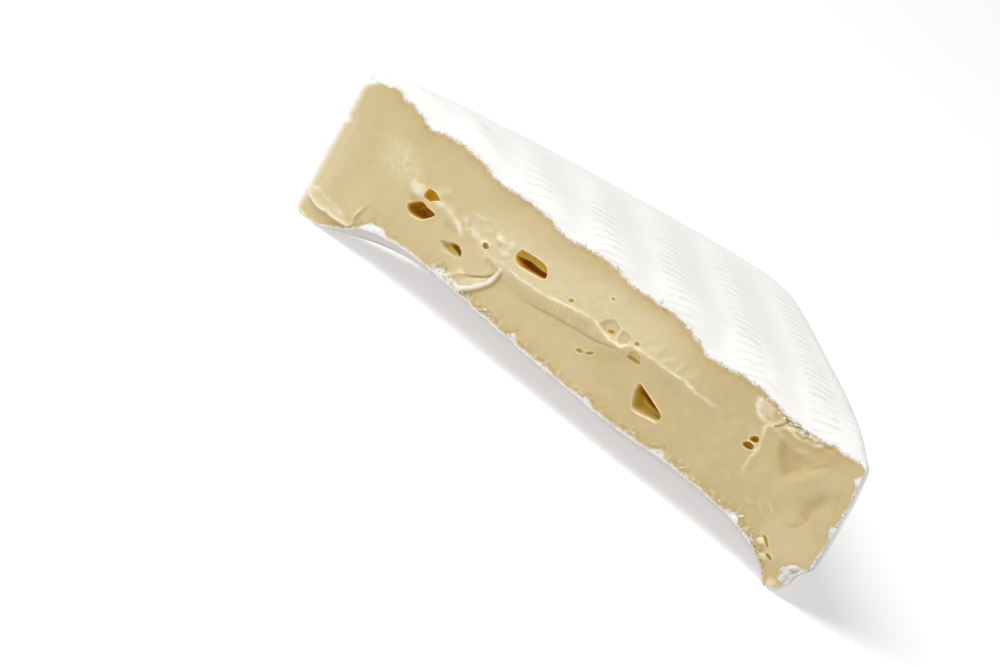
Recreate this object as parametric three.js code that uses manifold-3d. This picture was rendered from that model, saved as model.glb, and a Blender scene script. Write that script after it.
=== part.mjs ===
// A triangular piece of soft white-rind cheese, lying flat on its bottom rind.
// It is half of a square cheese that was cut along the diagonal: one solid of paste and rind,
// with the fresh cut at the front and rind on the top, the bottom and the two outer sides.
// Millimetres, +Z up. The cut faces -Y, and its tips lie on -X and +X.
import * as THREE from "three";
import { mergeVertices } from "three/addons/utils/BufferGeometryUtils.js";
import Module from "manifold-3d";

// Driving dimensions
const CUT_LENGTH = 134; // the cut face, from tip to tip
const DEPTH = 60; // from the cut to the square corner behind it
const HEIGHT = 30.2; // from the table to the top rind, at the left tip
const DOME = 0.9; // how much higher the middle of the top stands
const DOME_REACH = 12; // how far behind the cut the dome is whole
const TOP_EDGE_RADIUS = 4; // rounding of the rim's top edge
const TOP_EDGE_RADIUS_LEFT = 5.5; // and at the two tips, with the span of x over which it changes
const LEFT_EDGE_SPAN = [-67, -54];
const TOP_EDGE_RADIUS_RIGHT = 2.6;
const RIGHT_EDGE_SPAN = [20, 60];
const BOTTOM_EDGE_RADIUS = 4.6;
const CORNER_SOFTNESS = 0.07; // rounding of the square corner, as a share of half the cut
const RIM_BULGE = 0.6; // how far each outer side bows out between its corners
const LEFT_RIM_BULGE = 5.1;
const NOSE = 2; // thickness of the blunt tips
const NOSE_AT_END = 0.5; // and what is left of it on the end face

// The rind's low swell on top: bands that run along the right-hand side and die out near the rim
const BAND_PITCH = 19;
const BAND_HEIGHT = 0.25;
const BAND_RIM_FADE = [2, 14];

// The top stands higher towards the left tip, as x and rise, a little way behind the cut
const TOP_RISE = [[-67, 1.0], [-52, 1.6], [-30, 0.9], [-10, 0.4], [10, 0], [67, 0]];
const TOP_RISE_REACH = 6;

// How far behind the cut the pressed top and the lifted bottom run out
const TOP_PRESS_REACH = 9;
const BOTTOM_LIFT_REACH = 26;
const BOTTOM_CURL = 1.7;
const BOTTOM_CURL_REACH = 1.3;
const CURL_WHOLE_AT = 3; // lift of the bottom edge from which its curl is whole

// The bottom rind is dished a little, so the piece rests near its three corners, given as x and y
const REST_POINTS = [[-59.5, 3], [60.5, 3], [0, 52]];
const DISH = 0.3;
const DISH_SLOPE = 0.02;

// The right tip's end face bows in towards its top and bottom
const END_BOW = 1.4;
const END_BOW_LENGTH = 15;

// Grid of the loft
const STEPS_ALONG = 72;
const STEPS_FRONT = 27;
const STEPS_TOP_FLAT = 6;
const STEPS_EDGE = 4;
const STEPS_RIM = 5;
const STEPS_BOTTOM_FLAT = 6;
const CROWDING = 1.8; // how the rows of the top and the bottom crowd towards the cut
const SECTION_CROWDING = 0.09; // how the sections crowd towards the tips, where the outline turns fastest
const WELD = 1e-4; // points closer than this are one point

const HALF = CUT_LENGTH / 2;
const RIM_COSINE = HALF / Math.hypot(HALF, DEPTH);

// Outlines of the cut face, as x and z: the wavy upper edge and the lifted lower edge
const CUT_TOP = [
  [-67, 30.4], [-60, 31.1], [-56, 30.6], [-51, 29.9], [-48, 28.9], [-45, 29.7], [-40, 30.3], [-35, 29.9],
  [-29, 28.9], [-23, 29.3], [-17, 29.3], [-10, 28.5], [-5, 29.3], [1, 29.6], [7, 28.8], [14, 29.3],
  [20, 29.2], [28, 27.1], [34, 28.0], [40, 28.3], [47, 27.4], [52, 27.3], [60, 28.2], [67, 28.7],
];
const CUT_BOTTOM = [
  [-67, 0], [-61, 0], [-55, 1.6], [-48, 4.1], [-40, 5.2], [-31, 5.3], [-15, 4.5], [5, 4.0],
  [17, 3.8], [32, 4.6], [46, 4.1], [53, 2.8], [58, 1.4], [61.5, 0], [67, 0],
];

// Folds on the cut face. Each follows a line in x and z and stands proud by its rise.
// The paste runs out over slope on the line's left and over foot on its right.
const LEDGE = {
  line: [
    [-37, 18], [-31, 17], [-22, 16.8], [-12, 16.9], [-3, 18.1],
    [4, 19.0], [15, 19.7], [28, 20.0], [39, 21.8],
  ],
  rise: 0.9,
  slope: 5,
  foot: 3,
  grown: 0.35, // share of the line over which the fold grows
  dying: 0.7, // and from which it dies out
};
const FLAP = {
  line: [[-33, 6.2], [-28, 6.9], [-24, 8.3], [-21, 11.2], [-19.3, 13.7], [-18.6, 15.9]],
  rise: 0.8,
  slope: 4.5,
  foot: 1.6,
  grown: 0.25,
  dying: 0.95,
};
const CREASE = {
  line: [[45.0, 10.5], [45.2, 16], [45.8, 22], [43.6, 25.5]],
  rise: 0.6,
  slope: 0.8,
  foot: 4,
  grown: 0.2,
  dying: 0.95,
};

// The smear at the left tip: paste above it is pushed out, paste below it sits back
const SMEAR = [[-66, 5.4], [-60, 3.9], [-55, 3.7], [-53.4, 5.2], [-52, 8.8]];
const SMEAR_RISE = 0.5;
const SMEAR_SLOPE = 2.5;
const SMEAR_DROP = 0.4;
const SMEAR_FOOT = 1.5;
const SMEAR_END = [-56, -50];

// Relief runs out towards the tips and towards the edges of the cut
const TIP_FADE = 3;
const EDGE_FADE = 1.5;

// The torn lump of paste under the top rind, and the shallow dent beside it
const LUMP = { x: 44.5, z: 25.4, halfWidth: 3.2, halfHeight: 1.7, rise: 1.1 };
const DENT = { x: 52.0, z: 20.0, halfWidth: 4.0, halfHeight: 3.2, rise: -0.7 };
const SWELLING_FLAT = 0.2; // share of a swelling's size that is flat

// Openings in the paste, each an outline in x and z with the depth of its floor. Small ones are ovals.
// The floor is a smaller copy of the outline, and lean shifts it, so that one wall is steep and one slopes.
const OVAL_CORNERS = 5;
const HOLES = [
  {
    name: "upper twin",
    outline: [[-42.1, 17.6], [-40.3, 17.3], [-39.8, 18.0], [-38.4, 18.8], [-40.1, 19.5], [-41.9, 19.3]],
    depth: 3.0,
    lean: [0, -0.2],
  },
  {
    name: "lower twin",
    outline: [[-44.4, 14.6], [-43.2, 13.3], [-40.2, 13.7], [-37.9, 16], [-40.2, 16.3], [-42.2, 16.5]],
    depth: 5.2,
    lean: [0.8, 0.3],
  },
  {
    name: "slanted pocket",
    outline: [[-34.4, 13.2], [-32.8, 11.7], [-29.5, 12.1], [-28.7, 12.8], [-30.2, 14.1], [-32, 14.1]],
    depth: 3.2,
    lean: [1.1, 0.3],
  },
  {
    name: "deep slot",
    outline: [[-18.2, 19.9], [-17.6, 18.7], [-13, 18.7], [-10.2, 19.3], [-11.7, 21.5], [-16.6, 21.3]],
    depth: 6.2,
    lean: [0, -0.6],
  },
  {
    name: "wide cell",
    outline: [[4.8, 19.1], [6.4, 18.4], [8.4, 18.5], [9.2, 19.3], [8.8, 20.8], [7, 21.6], [5.3, 20.7]],
    depth: 1.1,
    lean: [0.3, -0.3],
  },
  {
    name: "round cell",
    outline: [[9.8, 20.8], [9.8, 19], [11, 18.4], [12.1, 19.3], [11.9, 20.7]],
    depth: 0.8,
    lean: [0, 0],
  },
  {
    name: "slot under the ledge",
    outline: [[12.7, 18], [13.3, 17.2], [15.5, 17.3], [16, 18], [14.5, 18.3]],
    depth: 1.6,
    lean: [0, 0.2],
  },
  {
    name: "three-cornered pocket",
    outline: [[17.7, 14.8], [18.4, 12], [19.3, 10.1], [22, 10.9], [24.9, 12.3], [24.5, 13], [21.2, 14.3]],
    depth: 5.4,
    lean: [0.6, 0.8],
  },
  { name: "pin hole", outline: oval(-24.8, 17.5, 0.85, 0.65, 0), depth: 1.5, lean: [0, 0] },
  { name: "spot in the wide cell", outline: oval(7.7, 19.2, 0.8, 0.45, 10), depth: 2.4, lean: [0, 0] },
  { name: "small cell", outline: oval(13.8, 20.5, 0.7, 0.5, 10), depth: 0.8, lean: [0, 0] },
  { name: "lower slit", outline: oval(3.6, 12.9, 0.8, 0.45, 15), depth: 0.8, lean: [0, 0] },
  { name: "upper slit", outline: oval(5.6, 13.7, 0.9, 0.35, 35), depth: 0.8, lean: [0, 0] },
  { name: "upper eye", outline: oval(43.8, 19.9, 1.05, 0.55, 25), depth: 2.2, lean: [0, 0] },
  { name: "lower eye", outline: oval(43.3, 18.3, 1.3, 0.6, 15), depth: 2.4, lean: [0, 0] },
  { name: "high notch", outline: oval(55.9, 6.9, 1.1, 0.55, -20), depth: 0.9, lean: [0, 0.2] },
  { name: "low notch", outline: oval(58.1, 4.8, 1.0, 0.4, -15), depth: 0.9, lean: [0, 0.2] },
  { name: "torn corner", outline: oval(66.6, 3.8, 2.3, 1.5, 50), depth: 4.0, lean: [0, 0] },
];

// Rings of a hole's wall, from the opening to the floor: share of the depth, and size against the opening
const HOLE_RINGS = [[-0.3, 1.04], [0, 1], [0.45, 0.86], [0.85, 0.66], [1, 0.38]];
const HOLE_POINTS_PER_CORNER = 3;
const CUTTER_START = 2; // how far in front of the cut face a cutter starts

// The outline of a small rounded opening, tilted by an angle in degrees
function oval(x, z, halfWidth, halfHeight, tilt) {
  const turn = (tilt * Math.PI) / 180;
  const points = [];
  for (let i = 0; i < OVAL_CORNERS; i++) {
    const angle = (2 * Math.PI * i) / OVAL_CORNERS;
    const [a, b] = [halfWidth * Math.cos(angle), halfHeight * Math.sin(angle)];
    points.push([x + a * Math.cos(turn) - b * Math.sin(turn), z + a * Math.sin(turn) + b * Math.cos(turn)]);
  }
  return points;
}

const clamp = (value, low, high) => Math.min(high, Math.max(low, value));

function smoothstep(low, high, value) {
  const t = clamp((value - low) / (high - low), 0, 1);
  return t * t * (3 - 2 * t);
}

// A smooth curve through (x, z) points, read at x
function along(points, x) {
  const last = points.length - 2;
  const i = clamp(points.findIndex((p) => p[0] > x) - 1, 0, last);
  const k = x >= points[last + 1][0] ? last : i;
  const [x0, z0] = points[k];
  const [x1, z1] = points[k + 1];
  const slopeAt = (n) => {
    const [xa, za] = points[Math.max(n - 1, 0)];
    const [xb, zb] = points[Math.min(n + 1, last + 1)];
    return (zb - za) / (xb - xa);
  };
  const span = x1 - x0;
  const t = clamp((x - x0) / span, 0, 1);
  const a = slopeAt(k) * span;
  const b = slopeAt(k + 1) * span;
  return z0 + a * t + (3 * (z1 - z0) - 2 * a - b) * t * t + (a + b - 2 * (z1 - z0)) * t * t * t;
}

// Signed distance of (x, z) from a line of points, positive on its left, and the share of the way along it
function fromLine(points, x, z) {
  const nearest = { distance: Infinity, share: 0 };
  const pieces = points.length - 1;
  for (let i = 0; i < pieces; i++) {
    const [xa, za] = points[i];
    const [xb, zb] = points[i + 1];
    const [dx, dz] = [xb - xa, zb - za];
    const t = clamp(((x - xa) * dx + (z - za) * dz) / (dx * dx + dz * dz), 0, 1);
    const away = Math.hypot(x - xa - t * dx, z - za - t * dz);
    if (away < Math.abs(nearest.distance)) {
      const side = dx * (z - za) - dz * (x - xa) >= 0 ? 1 : -1;
      nearest.distance = side * away;
      nearest.share = (i + t) / pieces;
    }
  }
  return nearest;
}

// How far behind the cut the outer side lies, at x
function rimDepth(x) {
  const u = Math.abs(x) / HALF;
  const reach = Math.hypot(1, CORNER_SOFTNESS);
  const straight = (reach - Math.hypot(u, CORNER_SOFTNESS)) / (reach - CORNER_SOFTNESS);
  const t = clamp((HALF - Math.abs(x)) / NOSE, 0, 1);
  const nose = NOSE_AT_END + (NOSE - NOSE_AT_END) * Math.sqrt(t * (2 - t));
  const bulge = x < 0 ? LEFT_RIM_BULGE : RIM_BULGE;
  return straight * (DEPTH - NOSE) + nose + bulge * 4 * u * (1 - u);
}

// Height of the top rind and of the bottom rind, before the rim's rounding
function topHeight(x, y) {
  const inset = (rimDepth(x) - y) * RIM_COSINE;
  const band = BAND_HEIGHT * Math.cos((2 * Math.PI * (x + y)) / BAND_PITCH);
  const swell = band * smoothstep(0, TOP_PRESS_REACH, y) * smoothstep(...BAND_RIM_FADE, inset);
  const dome = DOME * (1 - (x / HALF) ** 4) * smoothstep(0, DOME_REACH, y);
  const rise = along(TOP_RISE, x) * smoothstep(0, TOP_RISE_REACH, y);
  const press = (HEIGHT - along(CUT_TOP, x)) * Math.exp(-y / TOP_PRESS_REACH);
  return HEIGHT + dome + rise + swell - press;
}

function bottomHeight(x, y) {
  const lift = Math.max(0, along(CUT_BOTTOM, x));
  const curl = BOTTOM_CURL * Math.min(1, lift / CURL_WHOLE_AT) * Math.exp(-y / BOTTOM_CURL_REACH);
  const nearest = Math.min(...REST_POINTS.map(([a, b]) => Math.hypot(x - a, y - b)));
  return lift * (1 - smoothstep(0, BOTTOM_LIFT_REACH, y)) + curl + Math.min(DISH, DISH_SLOPE * nearest);
}

function topEdgeRadius(x) {
  const left = (TOP_EDGE_RADIUS_LEFT - TOP_EDGE_RADIUS) * (1 - smoothstep(...LEFT_EDGE_SPAN, x));
  const right = (TOP_EDGE_RADIUS_RIGHT - TOP_EDGE_RADIUS) * smoothstep(...RIGHT_EDGE_SPAN, x);
  return TOP_EDGE_RADIUS + left + right;
}

// A rounded bump or dent on the cut face
function swelling({ x: x0, z: z0, halfWidth, halfHeight, rise }, x, z) {
  const r = Math.hypot((x - x0) / halfWidth, (z - z0) / halfHeight);
  return rise * (1 - smoothstep(SWELLING_FLAT, 1, r));
}

// How far a fold lifts the paste at x and z
function foldRise({ line, rise, slope, foot, grown, dying }, x, z) {
  const { distance, share } = fromLine(line, x, z);
  const fade = smoothstep(0, grown, share) * (1 - smoothstep(dying, 1, share));
  return rise * fade * (distance > 0 ? Math.exp(-distance / slope) : 1 - smoothstep(0, foot, -distance));
}

function smearRise(x, z) {
  const { distance } = fromLine(SMEAR, x, z);
  const above = SMEAR_RISE * Math.exp(-distance / SMEAR_SLOPE);
  const below = -SMEAR_DROP * smoothstep(0, SMEAR_FOOT, -distance);
  return (1 - smoothstep(...SMEAR_END, x)) * (distance > 0 ? above : below);
}

// How far the cut face stands proud of its plane: the folds, the smear, the lump and the dent
function cutRelief(x, z) {
  const folds = foldRise(LEDGE, x, z) + foldRise(FLAP, x, z) + foldRise(CREASE, x, z);
  return folds + smearRise(x, z) + swelling(LUMP, x, z) + swelling(DENT, x, z);
}

// One loop of the loft at x: up the cut, over the top, down the rim and back along the bottom
function sectionAt(x) {
  const depth = rimDepth(x);
  const inset = depth * RIM_COSINE;
  const topRadius = topEdgeRadius(x);
  const roundFrom = (radius) => Math.asin(Math.max(0, 1 - inset / radius));
  const loop = [];

  // Each path over an edge: flat from the cut to the rounding, then the arc down to the rim
  const edgePath = (radius, flatSteps, heightAt, direction) => {
    const path = [];
    const start = roundFrom(radius);
    const flatEnd = Math.max(0, depth - radius / RIM_COSINE);
    for (let i = 0; i < flatSteps; i++) path.push([flatEnd * (i / flatSteps) ** CROWDING, 0]);
    for (let i = 0; i <= STEPS_EDGE; i++) {
      const angle = start + ((Math.PI / 2 - start) * i) / STEPS_EDGE;
      const fromRim = (radius * (1 - Math.sin(angle))) / RIM_COSINE;
      path.push([Math.max(depth - fromRim, 0), radius * (1 - Math.cos(angle))]);
    }
    const firstDrop = radius * (1 - Math.cos(start));
    return path.map(([y, drop], i) => [y, heightAt(x, y) - direction * (i < flatSteps ? firstDrop : drop)]);
  };
  const top = edgePath(topRadius, STEPS_TOP_FLAT, topHeight, 1);
  const bottom = edgePath(BOTTOM_EDGE_RADIUS, STEPS_BOTTOM_FLAT, bottomHeight, -1);

  const [cutLow, cutHigh] = [bottom[0][1], top[0][1]];
  const tipFade = smoothstep(0, TIP_FADE, HALF - Math.abs(x));
  for (let i = 0; i < STEPS_FRONT; i++) {
    const z = cutLow + ((cutHigh - cutLow) * i) / STEPS_FRONT;
    const edgeFade = smoothstep(0, EDGE_FADE, Math.min(z - cutLow, cutHigh - z));
    loop.push([-cutRelief(x, z) * tipFade * edgeFade, z]);
  }
  loop.push(...top);
  const [rimHigh, rimLow] = [top.at(-1)[1], bottom.at(-1)[1]];
  for (let i = 1; i < STEPS_RIM; i++) loop.push([depth, rimHigh + ((rimLow - rimHigh) * i) / STEPS_RIM]);
  loop.push(...bottom.reverse().slice(0, -1));

  const bow = END_BOW * smoothstep(HALF - END_BOW_LENGTH, HALF, x);
  const bowed = (z) => x - bow * ((z - HEIGHT / 2) / (HEIGHT / 2)) ** 2;
  return loop.map(([y, z]) => new THREE.Vector3(bowed(z), y, z));
}

// The whole body as a grid of sections with a flat cap at each tip
function loftedBody() {
  const sections = [];
  for (let i = 0; i <= STEPS_ALONG; i++) {
    const u = (2 * i) / STEPS_ALONG - 1;
    const crowded = u + SECTION_CROWDING * Math.sin(Math.PI * u);
    sections.push(sectionAt(i === STEPS_ALONG / 2 ? 0 : HALF * crowded));
  }
  const count = sections[0].length;
  const positions = sections.flat().flatMap((p) => [p.x, p.y, p.z]);
  const faces = [];
  for (let i = 0; i < STEPS_ALONG; i++) {
    for (let j = 0; j < count; j++) {
      const [a, b] = [i * count + j, i * count + ((j + 1) % count)];
      faces.push(a, a + count, b, b, a + count, b + count);
    }
  }
  // Each tip ends in a fan around the middle of its last section
  for (const row of [0, STEPS_ALONG]) {
    const middle = sections[row].reduce((sum, p) => sum.add(p), new THREE.Vector3()).divideScalar(count);
    const centre = positions.length / 3;
    positions.push(middle.x, middle.y, middle.z);
    for (let j = 0; j < count; j++) {
      const [a, b] = [row * count + j, row * count + ((j + 1) % count)];
      faces.push(centre, ...(row === 0 ? [a, b] : [b, a]));
    }
  }
  const geometry = new THREE.BufferGeometry();
  geometry.setAttribute("position", new THREE.Float32BufferAttribute(positions, 3));
  geometry.setIndex(faces);
  return geometry;
}

// A cutter for one opening: rings of its rounded outline that shrink from the cut face to the floor
function holeCutter({ outline, depth, lean }) {
  const curve = new THREE.CatmullRomCurve3(outline.map(([x, z]) => new THREE.Vector3(x, 0, z)), true);
  const count = outline.length * HOLE_POINTS_PER_CORNER;
  const ring = curve.getPoints(count).slice(0, count);
  const middle = ring.reduce((sum, p) => sum.add(p), new THREE.Vector3()).divideScalar(count);
  const face = -cutRelief(middle.x, middle.z) * smoothstep(0, TIP_FADE, HALF - Math.abs(middle.x));
  const positions = [];
  const faces = [];
  const front = count * HOLE_RINGS.length;
  HOLE_RINGS.forEach(([share, size], row) => {
    const inward = Math.max(0, share);
    for (const p of ring) {
      const x = middle.x + (p.x - middle.x) * size + lean[0] * inward;
      const z = middle.z + (p.z - middle.z) * size + lean[1] * inward;
      positions.push(x, face + (share < 0 ? -CUTTER_START : share * depth), z);
    }
    for (let j = 0; j < count; j++) {
      const next = (j + 1) % count;
      const [a, b] = [row * count + j, row * count + next];
      if (row < HOLE_RINGS.length - 1) faces.push(b, a, a + count, b + count, b, a + count);
      if (row === 0) faces.push(front, a, b);
      if (row === HOLE_RINGS.length - 1) faces.push(front + 1, b, a);
    }
  });
  positions.push(middle.x, face - CUTTER_START, middle.z);
  positions.push(middle.x + lean[0], face + depth, middle.z + lean[1]);
  const geometry = new THREE.BufferGeometry();
  geometry.setAttribute("position", new THREE.Float32BufferAttribute(positions, 3));
  geometry.setIndex(faces);
  return geometry;
}

const wasm = await Module();
wasm.setup();

function solidFrom(geometry) {
  const bare = new THREE.BufferGeometry().setAttribute("position", geometry.getAttribute("position"));
  bare.setIndex(geometry.index);
  const merged = mergeVertices(bare, WELD);
  const faces = [];
  for (let i = 0; i < merged.index.count; i += 3) {
    const [a, b, c] = [0, 1, 2].map((k) => merged.index.getX(i + k));
    if (a !== b && b !== c && c !== a) faces.push(a, b, c);
  }
  return new wasm.Manifold(
    new wasm.Mesh({
      numProp: 3,
      vertProperties: new Float32Array(merged.getAttribute("position").array),
      triVerts: new Uint32Array(faces),
    }),
  );
}

function geometryFrom(solid) {
  const { vertProperties, triVerts } = solid.getMesh();
  const geometry = new THREE.BufferGeometry();
  geometry.setAttribute("position", new THREE.Float32BufferAttribute(vertProperties, 3));
  geometry.setIndex([...triVerts]);
  return geometry;
}

let body = solidFrom(loftedBody());
for (const hole of HOLES) body = body.subtract(solidFrom(holeCutter(hole)));

const cheese = new THREE.Mesh(
  geometryFrom(body),
  new THREE.MeshStandardMaterial({ name: "paste and rind", color: 0xe6d7a8, roughness: 0.6, metalness: 0 }),
);
cheese.name = "brie_wedge";
cheese.geometry.computeVertexNormals();
cheese.geometry.computeBoundingBox();

// The origin lies under the middle of the piece, on the surface that it rests on
const { min, max } = cheese.geometry.boundingBox;
cheese.position.set(-(min.x + max.x) / 2, -(min.y + max.y) / 2, -min.z);

const group = new THREE.Group();
group.name = "brie";
group.add(cheese);

export default group;
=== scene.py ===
import math
from typing import NamedTuple

import bmesh
import bpy
import numpy as np
from mathutils import Euler, Matrix, Vector


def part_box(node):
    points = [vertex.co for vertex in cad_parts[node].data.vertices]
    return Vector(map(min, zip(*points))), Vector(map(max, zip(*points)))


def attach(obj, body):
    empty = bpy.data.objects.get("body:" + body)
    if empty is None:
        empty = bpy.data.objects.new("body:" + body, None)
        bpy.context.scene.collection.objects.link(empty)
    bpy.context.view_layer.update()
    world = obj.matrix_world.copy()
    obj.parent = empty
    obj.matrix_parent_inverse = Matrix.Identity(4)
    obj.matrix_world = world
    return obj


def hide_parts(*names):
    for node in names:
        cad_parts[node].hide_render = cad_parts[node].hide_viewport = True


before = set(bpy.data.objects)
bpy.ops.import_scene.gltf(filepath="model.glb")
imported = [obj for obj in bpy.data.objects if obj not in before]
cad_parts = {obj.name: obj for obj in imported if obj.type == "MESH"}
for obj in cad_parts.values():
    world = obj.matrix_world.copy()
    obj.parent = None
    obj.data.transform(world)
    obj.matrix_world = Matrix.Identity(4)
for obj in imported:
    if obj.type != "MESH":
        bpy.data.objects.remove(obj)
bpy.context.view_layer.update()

# The form of the piece
# Half of a square soft cheese, cut along its diagonal and lying on its bottom rind.
# It was drained on a ribbed mat and ripened, so its rims are rounded and its top has a low dome.
MM = 0.001
body_low, body_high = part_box("brie_wedge")
HALF_CUT = (body_high.x - body_low.x) / 2 / MM
CORNER_DEPTH = 60.0
CUT_PLANE = body_high.y / MM - CORNER_DEPTH
HEIGHT = 30.2
DOME = 0.9
TOP_EDGE_RADIUS = 4.0
TOP_EDGE_RADIUS_LEFT = 5.5
TOP_EDGE_RADIUS_RIGHT = 2.6
BOTTOM_EDGE_RADIUS = 4.6
CORNER_SOFTNESS = 0.07
RIM_BULGE = 0.6
LEFT_RIM_BULGE = 5.1
NOSE = 2.0
NOSE_AT_END = 0.5
RIM_COSINE = HALF_CUT / math.hypot(HALF_CUT, CORNER_DEPTH)

# The cut's wavy upper edge and lifted lower edge, as x and z
CUT_TOP = [
    (-67, 30.4), (-60, 31.1), (-56, 30.6), (-51, 29.9), (-48, 28.9), (-45, 29.7), (-40, 30.3), (-35, 29.9),
    (-29, 28.9), (-23, 29.3), (-17, 29.3), (-10, 28.5), (-5, 29.3), (1, 29.6), (7, 28.8), (14, 29.3),
    (20, 29.2), (28, 27.1), (34, 28.0), (40, 28.3), (47, 27.4), (52, 27.3), (60, 28.2), (67, 28.7),
]
CUT_BOTTOM = [
    (-67, 0), (-61, 0), (-55, 1.6), (-48, 4.1), (-40, 5.2), (-31, 5.3), (-15, 4.5), (5, 4.0),
    (17, 3.8), (32, 4.6), (46, 4.1), (53, 2.8), (58, 1.4), (61.5, 0), (67, 0),
]
# The top stands higher towards the left tip, as x and rise
TOP_RISE = [(-67, 1.0), (-52, 1.6), (-30, 0.9), (-10, 0.4), (10, 0), (67, 0)]
TOP_RISE_REACH = 6.0
TOP_PRESS_REACH = 9.0
DOME_REACH = 12.0
BOTTOM_LIFT_REACH = 26.0
BOTTOM_LIFT_FULL = 3.0
BOTTOM_CURL = 1.7
BOTTOM_CURL_REACH = 1.3
REST_POINTS = [(-59.5, 3), (60.5, 3), (0, 52)]
DISH = 0.3
DISH_SLOPE = 0.02
BAND_PITCH = 19.0
BAND_HEIGHT = 0.25
BAND_INSET = (2, 14)
# Raggedness of the cut's edges, in layers of height, size and seed
TOP_RAGGED = [(0.28, 2.3, 1), (0.16, 0.9, 2)]
TOP_RAGGED_REACH = 1.2
BOTTOM_RAGGED = [(0.22, 3.1, 3), (0.12, 1.0, 4)]
BOTTOM_RAGGED_REACH = 2.5
UNDERSIDE_RAGGED = [(0.45, 1.5, 30)]
UNDERSIDE_RAGGED_START = 0.5


def smoothstep(low, high, value):
    """0 up to low, 1 from high on, and a smooth step between."""
    t = np.clip((value - low) / (high - low), 0, 1)
    return t * t * (3 - 2 * t)


def curve_through(points, x):
    """A smooth line through (x, z) points, read at every x."""
    xs, zs = np.array(points, float).T
    order = np.arange(len(xs))
    before = np.clip(order - 1, 0, None)
    after = np.clip(order + 1, None, len(xs) - 1)
    slopes = (zs[after] - zs[before]) / (xs[after] - xs[before])
    k = np.clip(np.searchsorted(xs, x, side="right") - 1, 0, len(xs) - 2)
    span = xs[k + 1] - xs[k]
    t = np.clip((x - xs[k]) / span, 0, 1)
    rise = zs[k + 1] - zs[k]
    a = slopes[k] * span
    b = slopes[k + 1] * span
    return zs[k] + a * t + (3 * rise - 2 * a - b) * t**2 + (a + b - 2 * rise) * t**3


LATTICE = 256
RUFFLE_GAIN = 1.35


def ruffle(x, z, size, seed):
    """Smooth noise from about -1 to 1, with lumps of the given size in millimetres."""
    turns = np.random.default_rng(seed).uniform(0, 2 * math.pi, (LATTICE, LATTICE))
    u, v = np.broadcast_arrays(np.asarray(x, float) / size, np.asarray(z, float) / size)
    column, row = np.floor(u).astype(int), np.floor(v).astype(int)
    a, b = u - column, v - row
    slopes = []
    for j in (0, 1):
        for i in (0, 1):
            turn = turns[(column + i) % LATTICE, (row + j) % LATTICE]
            slopes.append(np.cos(turn) * (a - i) + np.sin(turn) * (b - j))
    fade_a = a**3 * (a * (6 * a - 15) + 10)
    fade_b = b**3 * (b * (6 * b - 15) + 10)
    lower = slopes[0] + (slopes[1] - slopes[0]) * fade_a
    upper = slopes[2] + (slopes[3] - slopes[2]) * fade_a
    return RUFFLE_GAIN * (lower + (upper - lower) * fade_b)


def layered(x, z, layers):
    """Noise in layers of height, size and seed, added up."""
    return sum(height * ruffle(x, z, size, seed) for height, size, seed in layers)


def rim_depth(x):
    """How far behind the cut the outer side lies."""
    u = np.abs(x) / HALF_CUT
    reach = math.hypot(1, CORNER_SOFTNESS)
    straight = (reach - np.hypot(u, CORNER_SOFTNESS)) / (reach - CORNER_SOFTNESS)
    t = np.clip((HALF_CUT - np.abs(x)) / NOSE, 0, 1)
    nose = NOSE_AT_END + (NOSE - NOSE_AT_END) * np.sqrt(t * (2 - t))
    bulge = np.where(x < 0, LEFT_RIM_BULGE, RIM_BULGE)
    return straight * (CORNER_DEPTH - NOSE) + nose + bulge * 4 * u * (1 - u)


def top_height(x, y):
    """Height of the top rind, at this distance behind the cut."""
    inset = (rim_depth(x) - y) * RIM_COSINE
    band = BAND_HEIGHT * np.cos(2 * math.pi * (x + y) / BAND_PITCH)
    swell = band * smoothstep(0, TOP_PRESS_REACH, y) * smoothstep(*BAND_INSET, inset)
    press = (HEIGHT - curve_through(CUT_TOP, x)) * np.exp(-y / TOP_PRESS_REACH)
    dome = DOME * (1 - (x / HALF_CUT) ** 4) * smoothstep(0, DOME_REACH, y)
    rise = curve_through(TOP_RISE, x) * smoothstep(0, TOP_RISE_REACH, y)
    ragged = layered(x, 0, TOP_RAGGED) * np.exp(-y / TOP_RAGGED_REACH)
    return HEIGHT + dome + rise + swell - press + ragged


def bottom_height(x, y):
    """Height of the bottom rind, which lifts and curls towards the cut."""
    lift = np.maximum(0, curve_through(CUT_BOTTOM, x))
    lifted_share = np.minimum(1, lift / BOTTOM_LIFT_FULL)
    lifted = lift * (1 - smoothstep(0, BOTTOM_LIFT_REACH, y))
    curl = BOTTOM_CURL * lifted_share * np.exp(-y / BOTTOM_CURL_REACH)
    nearest = np.min([np.hypot(x - a, y - b) for a, b in REST_POINTS], axis=0)
    dish = np.minimum(DISH, DISH_SLOPE * nearest)
    ragged = layered(x, 0, BOTTOM_RAGGED)
    ragged += layered(x, 2 * y, UNDERSIDE_RAGGED) * (1 - np.exp(-y / UNDERSIDE_RAGGED_START))
    return lifted + curl + dish + ragged * lifted_share * np.exp(-y / BOTTOM_RAGGED_REACH)


# Rows of points round each section and along the cut
SECTIONS = 320
FRONT_ROWS = 82
TOP_ROWS = 56
EDGE_ROWS = 7
RIM_ROWS = 22
BOTTOM_ROWS = 14
TIP_CROWDING = 0.09
TOP_CROWDING = 1.25
BOTTOM_CROWDING = 1.8

# The upper edge is rounder at the left tip and crisper at the right, between these x
LEFT_TIP = (-67, -54)
RIGHT_TIP = (20, 60)

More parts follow.
